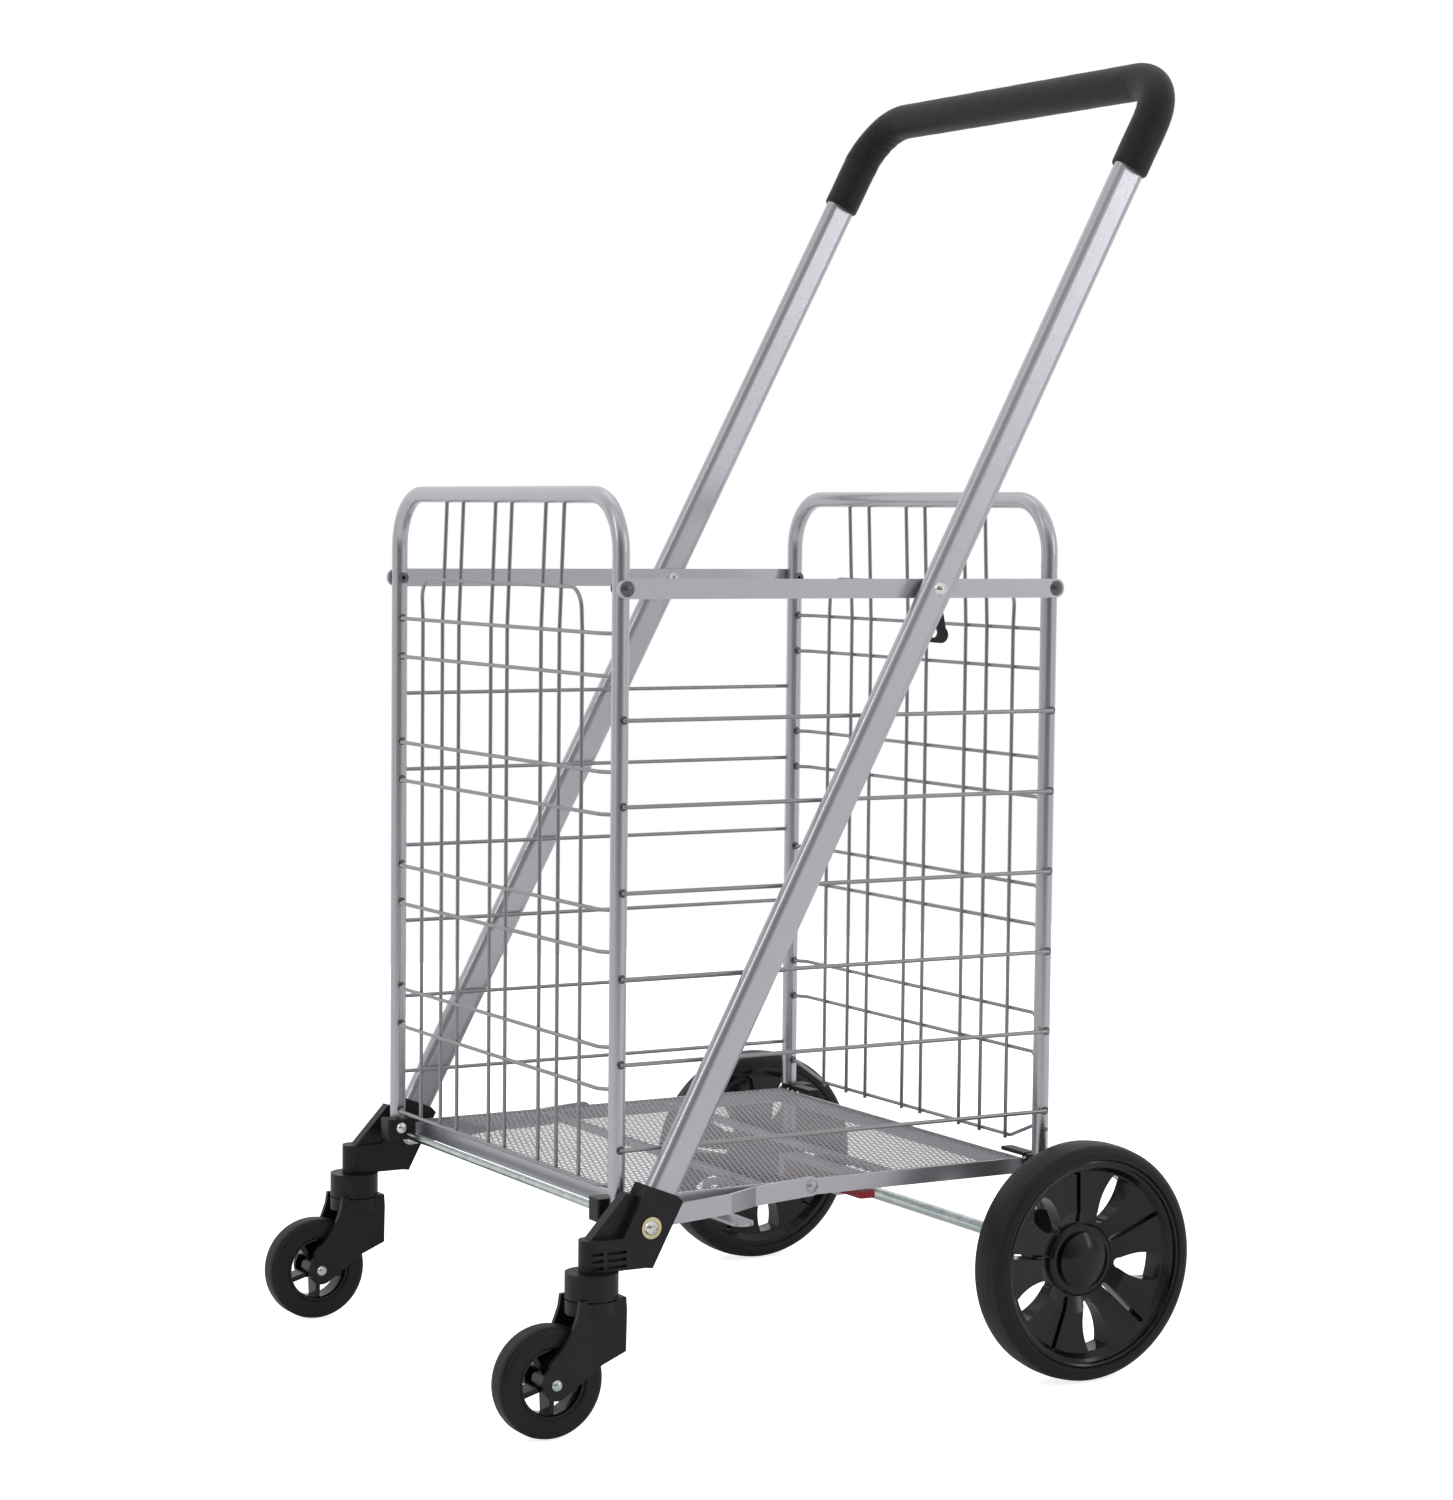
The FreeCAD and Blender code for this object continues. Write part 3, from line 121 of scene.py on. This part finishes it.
# ---- node helpers -------------------------------------------------------------------------------
def new_material(name):
    material = bpy.data.materials.new(name)
    material.use_nodes = True
    nodes = material.node_tree.nodes
    shader = nodes["Principled BSDF"]
    return material, nodes, material.node_tree.links, shader


def noise(nodes, links, scale, detail):
    """Noise in the object's own space, so that it rides with the piece."""
    place = nodes.new("ShaderNodeTexCoord")
    texture = nodes.new("ShaderNodeTexNoise")
    texture.inputs["Scale"].default_value = scale
    texture.inputs["Detail"].default_value = detail
    texture.inputs["Roughness"].default_value = NOISE_ROUGHNESS
    links.new(place.outputs["Object"], texture.inputs["Vector"])
    return texture.outputs["Fac"]


def ramp(nodes, links, source, stops):
    node = nodes.new("ShaderNodeValToRGB")
    links.new(source, node.inputs["Fac"])
    elements = node.color_ramp.elements
    for element, (position, colour) in zip(elements, (stops[0], stops[-1])):
        element.position = position
        element.color = (*colour, 1.0)
    for position, colour in stops[1:-1]:
        elements.new(position).color = (*colour, 1.0)
    return node.outputs["Color"]


def remap(nodes, links, source, low, high):
    node = nodes.new("ShaderNodeMapRange")
    node.inputs["To Min"].default_value = low
    node.inputs["To Max"].default_value = high
    links.new(source, node.inputs["Value"])
    return node.outputs["Result"]


def bump(nodes, links, shader, heights, strength, distance):
    """Chain of bump nodes, one for each height, coarse to fine."""
    previous = None
    for height, share in heights:
        node = nodes.new("ShaderNodeBump")
        node.inputs["Strength"].default_value = strength * share
        node.inputs["Distance"].default_value = distance
        links.new(height, node.inputs["Height"])
        if previous is not None:
            links.new(previous, node.inputs["Normal"])
        previous = node.outputs["Normal"]
    links.new(previous, shader.inputs["Normal"])


# ---- materials ----------------------------------------------------------------------------------
def paint(name, dark, light, metallic, rough):
    """Silver powder coat: fine flakes, a little orange peel and slow tone drift."""
    material, nodes, links, shader = new_material(name)
    flakes = noise(nodes, links, 5200.0, 1.0)
    drift = noise(nodes, links, 9.0, 4.0)
    peel = noise(nodes, links, 620.0, 2.0)
    mixed = nodes.new("ShaderNodeMath")
    mixed.operation = "MULTIPLY_ADD"
    links.new(flakes, mixed.inputs[0])
    mixed.inputs[1].default_value = 0.55
    half_drift = remap(nodes, links, drift, 0.10, 0.34)
    links.new(half_drift, mixed.inputs[2])
    tone = ramp(nodes, links, mixed.outputs[0], [(0.25, dark), (0.75, light)])
    links.new(tone, shader.inputs["Base Color"])
    links.new(remap(nodes, links, drift, *rough), shader.inputs["Roughness"])
    shader.inputs["Metallic"].default_value = metallic
    shader.inputs["Coat Weight"].default_value = 0.3
    shader.inputs["Coat Roughness"].default_value = 0.12
    bump(nodes, links, shader, [(peel, 1.0), (flakes, 0.5)], 0.05, 0.0004)
    return material


def plated(name, dark, light, rough):
    """Chrome or zinc: metal with faint streaks and a cloudy tone."""
    material, nodes, links, shader = new_material(name)
    cloud = noise(nodes, links, 85.0, 5.0)
    grain = noise(nodes, links, 1900.0, 2.0)
    links.new(ramp(nodes, links, cloud, [(0.3, dark), (0.7, light)]), shader.inputs["Base Color"])
    links.new(remap(nodes, links, cloud, *rough), shader.inputs["Roughness"])
    shader.inputs["Metallic"].default_value = 1.0
    bump(nodes, links, shader, [(grain, 1.0)], 0.06, 0.0002)
    return material


def moulded(name, dark, light, rough, grain_scale, grain_strength, coat=0.0):
    """Moulded plastic: fine spark-eroded grain, with slight sheen changes."""
    material, nodes, links, shader = new_material(name)
    grain = noise(nodes, links, grain_scale, 2.0)
    cloud = noise(nodes, links, 38.0, 4.0)
    links.new(ramp(nodes, links, cloud, [(0.3, dark), (0.7, light)]), shader.inputs["Base Color"])
    links.new(remap(nodes, links, cloud, *rough), shader.inputs["Roughness"])
    shader.inputs["Specular IOR Level"].default_value = SOFT_SPECULAR
    shader.inputs["Coat Weight"].default_value = coat
    shader.inputs["Coat Roughness"].default_value = 0.06
    bump(nodes, links, shader, [(grain, 1.0)], grain_strength, 0.0004)
    return material


def tyre_rubber(name):
    """Matte grey-black rubber with a dusty bloom and a fine mould texture."""
    material, nodes, links, shader = new_material(name)
    bloom = noise(nodes, links, 26.0, 6.0)
    grain = noise(nodes, links, 1500.0, 2.0)
    tone = ramp(nodes, links, bloom, [(0.3, (0.007, 0.0068, 0.007)), (0.75, (0.012, 0.0117, 0.012))])
    links.new(tone, shader.inputs["Base Color"])
    links.new(remap(nodes, links, bloom, 0.40, 0.54), shader.inputs["Roughness"])
    shader.inputs["Specular IOR Level"].default_value = SOFT_SPECULAR
    bump(nodes, links, shader, [(bloom, 0.4), (grain, 1.0)], 0.12, 0.0005)
    return material


def foam(name):
    """Closed-cell foam: tiny pores and a soft sheen."""
    material, nodes, links, shader = new_material(name)
    place = nodes.new("ShaderNodeTexCoord")
    cells = nodes.new("ShaderNodeTexVoronoi")
    cells.inputs["Scale"].default_value = 950.0
    links.new(place.outputs["Object"], cells.inputs["Vector"])
    cloud = noise(nodes, links, 30.0, 5.0)
    tone = ramp(nodes, links, cloud, [(0.3, (0.007, 0.0068, 0.007)), (0.75, (0.013, 0.0126, 0.013))])
    links.new(tone, shader.inputs["Base Color"])
    links.new(remap(nodes, links, cloud, 0.46, 0.60), shader.inputs["Roughness"])
    shader.inputs["Specular IOR Level"].default_value = SOFT_SPECULAR
    shader.inputs["Sheen Weight"].default_value = 0.06
    shader.inputs["Sheen Roughness"].default_value = 0.5
    bump(nodes, links, shader, [(cloud, 0.5), (cells.outputs["Distance"], 1.0)], 0.22, 0.0004)
    return material


def seen_directly(nodes):
    """1 where the camera itself looks, 0 for light and reflections; only for the stage."""
    return nodes.new("ShaderNodeLightPath").outputs["Is Camera Ray"]


def floor_material():
    material, nodes, links, shader = new_material("pale_floor")
    cloud = noise(nodes, links, 3.0, 4.0)
    tone = ramp(nodes, links, cloud, [(0.3, (0.93, 0.93, 0.93)), (0.7, (0.96, 0.96, 0.96))])
    links.new(tone, shader.inputs["Base Color"])
    shader.inputs["Roughness"].default_value = 0.9
    shader.inputs["Emission Color"].default_value = (1.0, 1.0, 1.0, 1.0)
    links.new(remap(nodes, links, seen_directly(nodes), 0.0, FLOOR_GLOW), shader.inputs["Emission Strength"])
    return material


SLOT_MATERIALS = {
    "frame_paint": paint("silver_coat", (0.47, 0.465, 0.505), (0.60, 0.59, 0.645), 0.9, (0.22, 0.30)),
    "wire_paint": paint("wire_coat", (0.26, 0.26, 0.27), (0.38, 0.38, 0.39), 0.85, (0.24, 0.32)),
    "bar_paint": paint("bar_coat", (0.45, 0.445, 0.485), (0.58, 0.57, 0.625), 0.85, (0.26, 0.36)),
    "mesh_paint": paint("mesh_coat", (0.27, 0.262, 0.282), (0.38, 0.37, 0.395), 0.8, (0.28, 0.38)),
    "rivet_grey": paint("rivet_coat", (0.10, 0.10, 0.108), (0.16, 0.16, 0.17), 0.7, (0.22, 0.32)),
    "bright_chrome": plated("polished_chrome", (0.72, 0.72, 0.71), (0.90, 0.90, 0.89), (0.05, 0.12)),
    "zinc": plated("bright_zinc", (0.46, 0.53, 0.53), (0.66, 0.73, 0.72), (0.12, 0.24)),
    "brass_washer": plated("yellow_zinc", (0.60, 0.51, 0.30), (0.78, 0.70, 0.46), (0.14, 0.24)),
    "foam": foam("grip_foam"),
    "black_plastic": moulded(
        "grained_black", (0.0085, 0.0082, 0.0086), (0.014, 0.0136, 0.014), (0.34, 0.46), 1400.0, 0.18
    ),
    "wheel_plastic": moulded(
        "glossy_black", (0.004, 0.004, 0.0043), (0.007, 0.007, 0.0073), (0.12, 0.20), 260.0, 0.03, 0.12
    ),
    "red_plastic": moulded(
        "red_lever", (0.26, 0.010, 0.014), (0.36, 0.020, 0.022), (0.28, 0.38), 900.0, 0.08
    ),
    "tyre_rubber": tyre_rubber("matte_tyre"),
}


# ---- mesh helpers -------------------------------------------------------------------------------
def mesh_object(name, bm, slot, body, smooth_angle=35.0):
    mesh = bpy.data.meshes.new(name)
    bmesh.ops.recalc_face_normals(bm, faces=bm.faces)
    bm.to_mesh(mesh)
    bm.free()
    piece = bpy.data.objects.new(name, mesh)
    bpy.context.scene.collection.objects.link(piece)
    smooth(piece, smooth_angle)
    mesh.materials.append(SLOT_MATERIALS[slot])
    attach(piece, body)
    return piece


def smooth(piece, angle):
    """Smooth faces that meet under the angle, kept crisp above it."""
    mesh = piece.data
    mesh.polygons.foreach_set("use_smooth", [True] * len(mesh.polygons))
    mesh.set_sharp_from_angle(angle=math.radians(angle))


def ribbon(bm, points, width, tilt):
    """A thin leaning strip along points: four corners at each point, joined along the way."""
    rise = width / 2 * math.sin(tilt)
    run = width / 2 * math.cos(tilt)
    thick = width * MESH_HALF_THICK
    corners = [(-run, -rise - thick), (run, rise - thick), (run, rise + thick), (-run, -rise + thick)]
    rings = []
    for point in points:
        rings.append([bm.verts.new(point + Vector((0.0, y, z))) for y, z in corners])
    for before, after in zip(rings, rings[1:]):
        for index in range(4):
            following = (index + 1) % 4
            bm.faces.new((before[index], before[following], after[following], after[index]))
    bm.faces.new(rings[0])
    bm.faces.new(rings[-1])


# ---- expanded metal deck ------------------------------------------------------------------------
def expanded_deck():
    """Zigzag strands, each the mirror of the next, that leave rows of diamonds between them."""
    low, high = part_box("platform_mesh")
    bm = bmesh.new()
    rows = int((high.y - low.y) / MESH_ROW)
    steps = int((high.x - low.x) / (MESH_PITCH_X / 2))
    top = high.z - MESH_STRAND * MESH_SUNK
    swing = MESH_ROW / 2 - MESH_STRAND * MESH_INSET
    for row in range(rows):
        middle = low.y + (row + 0.5) * (high.y - low.y) / rows
        points = []
        for step in range(steps + 1):
            side = 1 if (step + row) % 2 else -1
            x = low.x + step * (high.x - low.x) / steps
            points.append(Vector((x, middle + side * swing, top + side * MESH_WAVE)))
        ribbon(bm, points, MESH_STRAND, MESH_TILT)
    deck = mesh_object("expanded_metal_deck", bm, "mesh_paint", "platform", 30.0)
    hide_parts("platform_mesh")


# ---- weld beads and eyelets ---------------------------------------------------------------------
def row_heights():
    """Heights of a wire panel's rows: pairs from the top down, then the lowest row."""
    rows = [ROW_TOP - ROW_PITCH * pair - gap for pair in range(ROW_PAIRS) for gap in (0.0, ROW_GAP)]
    return rows + [ROW_BOTTOM]


def weld_beads(end, outward):
    """A small flattened bead wherever a row wire crosses a column wire."""
    low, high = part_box(f"{end}_wire_panel")
    edge = high.y if outward > 0 else low.y
    y = edge - outward * (WIRE_RADIUS + COLUMN_INSET / 2)
    bm = bmesh.new()
    for z in row_heights():
        for x in COLUMN_X:
            for side in (-1, 1):
                place = Matrix.Translation((side * x, y, z)) @ Matrix.Diagonal(BEAD_SHAPE)
                bmesh.ops.create_icosphere(bm, subdivisions=2, radius=BEAD_RADIUS, matrix=place)
    mesh_object(f"{end}_weld_beads", bm, "wire_paint", f"{end}_frame", 60.0)


def eyelet(bm, centre):
    """The raised lip round a drilled hole, a ring about X."""
    rings, sides = 18, 8
    loops = []
    for ring in range(rings):
        around = 2 * math.pi * ring / rings
        loop = []
        for side in range(sides):
            turn = 2 * math.pi * side / sides
            radius = EYELET_RADIUS + EYELET_LIP * math.cos(turn)
            offset = (EYELET_LIP * math.sin(turn), radius * math.cos(around), radius * math.sin(around))
            loop.append(bm.verts.new(centre + Vector(offset)))
        loops.append(loop)
    for ring in range(rings):
        after = loops[(ring + 1) % rings]
        for side in range(sides):
            following = (side + 1) % sides
            bm.faces.new((loops[ring][side], loops[ring][following], after[following], after[side]))


def post_eyelets_painted_shade(end, jog):
    """Eyelets where the side wires enter outside, and where the rows enter inside; their dark rivet grey is
    painted shade for the holes round the wires.
    """
    low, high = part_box(f"{end}_frame_tube")
    y = (low.y + high.y) / 2
    outer = high.x - EYELET_LIP * EYELET_SUNK
    inner = high.x - POST_DIAMETER + EYELET_LIP * EYELET_SUNK
    bm = bmesh.new()
    for side in (-1, 1):
        for level in range(1, SIDE_WIRE_LEVELS + 1):
            wire_low, wire_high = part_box(f"side_wires_{level}")
            eyelet(bm, Vector((side * outer, y, (wire_low.z + wire_high.z) / 2)))
        for z in row_heights()[:-1] + [ROW_BOTTOM + jog]:
            eyelet(bm, Vector((side * inner, y, z)))
    # the dark rivet grey on these lips is painted shade, standing in for the shadowed holes where the wires
    # enter the posts
    mesh_object(f"{end}_post_eyelets_painted_shade", bm, "rivet_grey", f"{end}_frame", 60.0)


# ---- foam grip ----------------------------------------------------------------------------------
def grip_path(half_width, leg, bend, step):
    """Points and directions along the grip's middle, across X and up the handle's own plane."""
    arc = bend * math.pi / 2
    lengths = [leg - bend, arc, 2 * (half_width - bend), arc, leg - bend]
    whole = sum(lengths)
    count = int(whole / step)
    for index in range(count + 1):
        run = whole * index / count
        if run <= lengths[0]:
            yield run, (-half_width, run), (0.0, 1.0)
        elif run <= sum(lengths[:2]):
            turn = (run - lengths[0]) / bend
            x = -half_width + bend - bend * math.cos(turn)
            yield run, (x, lengths[0] + bend * math.sin(turn)), (math.sin(turn), math.cos(turn))
        elif run <= sum(lengths[:3]):
            yield run, (-half_width + bend + run - sum(lengths[:2]), leg), (1.0, 0.0)
        elif run <= sum(lengths[:4]):
            turn = (run - sum(lengths[:3])) / bend
            x = half_width - bend + bend * math.sin(turn)
            yield run, (x, leg - bend + bend * math.cos(turn)), (math.cos(turn), -math.sin(turn))
        else:
            yield run, (half_width, whole - run), (0.0, -1.0)


def grip_radius(run, whole, inside, turn):
    """Rounded lips at both ends, soft folds inside the bends, one crease and a faint unevenness."""
    end = min(run, whole - run)
    lip = max(0.0, 1.0 - end / GRIP_LIP)
    radius = GRIP_RADIUS - GRIP_LIP_DROP * lip * lip
    bend_place = max(0.0, 1.0 - abs(end - GRIP_FOLDS_AT) / GRIP_FOLDS_REACH)
    folds = 0.5 + 0.5 * math.sin(end * GRIP_FOLD_WAVES + 1.3 * math.sin(3.0 * turn))
    radius -= GRIP_FOLD_DEPTH * bend_place * max(inside, 0.0) * folds
    crease_at = GRIP_SEAM + GRIP_SEAM_SLANT * math.sin(turn + 0.9)
    crease = math.exp(-(((run - crease_at) / GRIP_SEAM_WIDTH) ** 2))
    swell = math.exp(-(((run - crease_at - GRIP_SWELL) / GRIP_SWELL) ** 2))
    radius -= GRIP_SEAM_DEPTH * crease + GRIP_SWELL_HEIGHT * (1.0 - swell)
    ripple = math.sin(run * 95.0 + 2.0 * turn) + math.sin(run * 231.0 - 3.0 * turn + 1.0)
    return radius - GRIP_RIPPLE * (2.0 - ripple)


def foam_grip():
    """The foam sleeve swept round the top of the handle, with the wrinkles of a bent sleeve."""
    low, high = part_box("handle_grip")
    sin_lean, cos_lean = math.sin(HANDLE_LEAN), math.cos(HANDLE_LEAN)
    foot = Vector((0.0, low.y + GRIP_RADIUS * cos_lean, low.z + GRIP_RADIUS * sin_lean))
    head = Vector((0.0, high.y - GRIP_RADIUS, high.z - GRIP_RADIUS))
    up = (head - foot).normalized()
    square = Vector((1.0, 0.0, 0.0)).cross(up)
    leg = (head - foot).length
    stations = list(grip_path(high.x - GRIP_RADIUS, leg, GRIP_BEND, GRIP_STEP))
    whole = stations[-1][0]
    bm = bmesh.new()
    rings = []
    for run, (x, rise), (dx, drise) in stations:
        centre = foot + Vector((x, 0.0, 0.0)) + up * rise
        ahead = Vector((dx, 0.0, 0.0)) + up * drise
        sideways = ahead.cross(square)
        to_middle = (Vector((0.0, centre.y, centre.z)) - up * GRIP_FOLDS_FACE - centre).normalized()
        ring = []
        for side in range(GRIP_SIDES):
            turn = 2 * math.pi * side / GRIP_SIDES
            outwards = sideways * math.cos(turn) + square * math.sin(turn)
            radius = grip_radius(run, whole, outwards.dot(to_middle), turn)
            ring.append(bm.verts.new(centre + outwards * radius))
        rings.append(ring)
    for before, after in zip(rings, rings[1:]):
        for side in range(GRIP_SIDES):
            following = (side + 1) % GRIP_SIDES
            bm.faces.new((before[side], before[following], after[following], after[side]))
    bm.faces.new(rings[0])
    bm.faces.new(rings[-1])
    grip = mesh_object("foam_sleeve", bm, "foam", "handle", 50.0)
    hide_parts("handle_grip")


# ---- materials and edges on the CAD pieces ------------------------------------------------------
SHARP_SLOTS = {"black_plastic": 0.0006, "wheel_plastic": 0.0005, "bar_paint": 0.0003, "red_plastic": 0.0004}


def dress_cad():
    """Every CAD piece gets its slot's material and smooth faces, and some slots a small edge radius."""
    slots = {part["node"]: part["material_slot"] for part in frame["record"]["subparts"]}
    for name, piece in frame["nodes"].items():
        slot = slots[name]
        piece.data.materials.clear()
        piece.data.materials.append(SLOT_MATERIALS[slot])
        smooth(piece, CAD_SMOOTH_ANGLE)
        if slot in SHARP_SLOTS:
            edge = piece.modifiers.new("edge_radius", "BEVEL")
            edge.width = SHARP_SLOTS[slot]
            edge.segments = 2
            edge.limit_method = "ANGLE"
            edge.angle_limit = math.radians(CAD_SMOOTH_ANGLE)
            edge.harden_normals = True


# ---- floor, light, camera -----------------------------------------------------------------------
def make_floor():
    bm = bmesh.new()
    bmesh.ops.create_grid(bm, x_segments=4, y_segments=4, size=FLOOR_HALF)
    mesh = bpy.data.meshes.new("floor")
    bm.to_mesh(mesh)
    bm.free()
    floor = bpy.data.objects.new("floor", mesh)
    floor.location.z = -FLOOR_DROP
    bpy.context.scene.collection.objects.link(floor)
    mesh.materials.append(floor_material())


def area_light(name, place, target, size, power):
    light = bpy.data.lights.new(name, "AREA")
    light.shape = "RECTANGLE"
    light.size, light.size_y = size
    light.energy = power
    lamp = bpy.data.objects.new(name, light)
    lamp.location = place
    lamp.rotation_euler = (Vector(target) - Vector(place)).to_track_quat("-Z", "Y").to_euler()
    bpy.context.scene.collection.objects.link(lamp)


def make_world():
    """A white backdrop; light from two bright bands and the far side, dark at the near side."""
    world = bpy.data.worlds.new("studio")
    world.use_nodes = True
    nodes, links = world.node_tree.nodes, world.node_tree.links
    place = nodes.new("ShaderNodeTexCoord")
    azimuth = math.radians(CAMERA_AZIMUTH)
    shares = []
    for direction, stops in (
        ((-math.sin(azimuth), math.cos(azimuth), 0.0), COVE_STOPS),
        ((0.0, 0.0, 1.0), OVERHEAD_STOPS),
    ):
        along = nodes.new("ShaderNodeVectorMath")
        along.operation = "DOT_PRODUCT"
        along.inputs[1].default_value = direction
        links.new(place.outputs["Generated"], along.inputs[0])
        scaled = nodes.new("ShaderNodeMapRange")
        scaled.inputs["From Min"].default_value = -1.0
        links.new(along.outputs["Value"], scaled.inputs["Value"])
        shares.append(ramp(nodes, links, scaled.outputs["Result"], [(at, (v, v, v)) for at, v in stops]))
    both = nodes.new("ShaderNodeVectorMath")
    links.new(shares[0], both.inputs[0])
    links.new(shares[1], both.inputs[1])
    backdrop = nodes.new("ShaderNodeMix")
    backdrop.data_type = "VECTOR"
    backdrop.inputs["B"].default_value = (1.0, 1.0, 1.0)
    links.new(seen_directly(nodes), backdrop.inputs["Factor"])
    links.new(both.outputs["Vector"], backdrop.inputs["A"])
    background = nodes["Background"]
    links.new(backdrop.outputs["Result"], background.inputs["Color"])
    background.inputs["Strength"].default_value = 1.0
    bpy.context.scene.world = world


def make_light():
    area_light("key", (0.9, -3.2, 2.3), (0.0, 0.0, 0.45), (0.4, 1.8), 6.5)
    area_light("side", (3.0, 2.6, 1.7), (0.0, 0.0, 0.45), (0.4, 2.0), 8.0)
    area_light("top", (-0.6, 0.3, 3.4), (0.0, 0.0, 0.3), (1.6, 1.6), 2.0)


def make_camera():
    azimuth = math.radians(CAMERA_AZIMUTH)
    pitch = math.radians(CAMERA_PITCH)
    roll = math.radians(CAMERA_ROLL)
    forward = Vector(
        (-math.sin(azimuth) * math.cos(pitch), math.cos(azimuth) * math.cos(pitch), -math.sin(pitch))
    )
    right = Vector((math.cos(azimuth), math.sin(azimuth), 0.0))
    up = right.cross(forward)
    rolled_right = right * math.cos(roll) + up * math.sin(roll)
    rolled_up = up * math.cos(roll) - right * math.sin(roll)
    data = bpy.data.cameras.new("camera")
    data.sensor_fit = "HORIZONTAL"
    data.sensor_width = CAMERA_SENSOR
    data.lens = CAMERA_LENS
    camera = bpy.data.objects.new("camera", data)
    turn = Matrix((rolled_right, rolled_up, -forward)).transposed()
    camera.matrix_world = Matrix.Translation(CAMERA_AT) @ turn.to_4x4()
    bpy.context.scene.collection.objects.link(camera)
    bpy.context.scene.camera = camera


dress_cad()
expanded_deck()
for end_name, outward_sign, jog_rise in (("front", -1, 0.0), ("rear", 1, REAR_JOG)):
    weld_beads(end_name, outward_sign)
    post_eyelets_painted_shade(end_name, jog_rise)
foam_grip()
make_floor()
make_world()
make_light()
make_camera()
bpy.context.scene.view_settings.view_transform = "Standard"
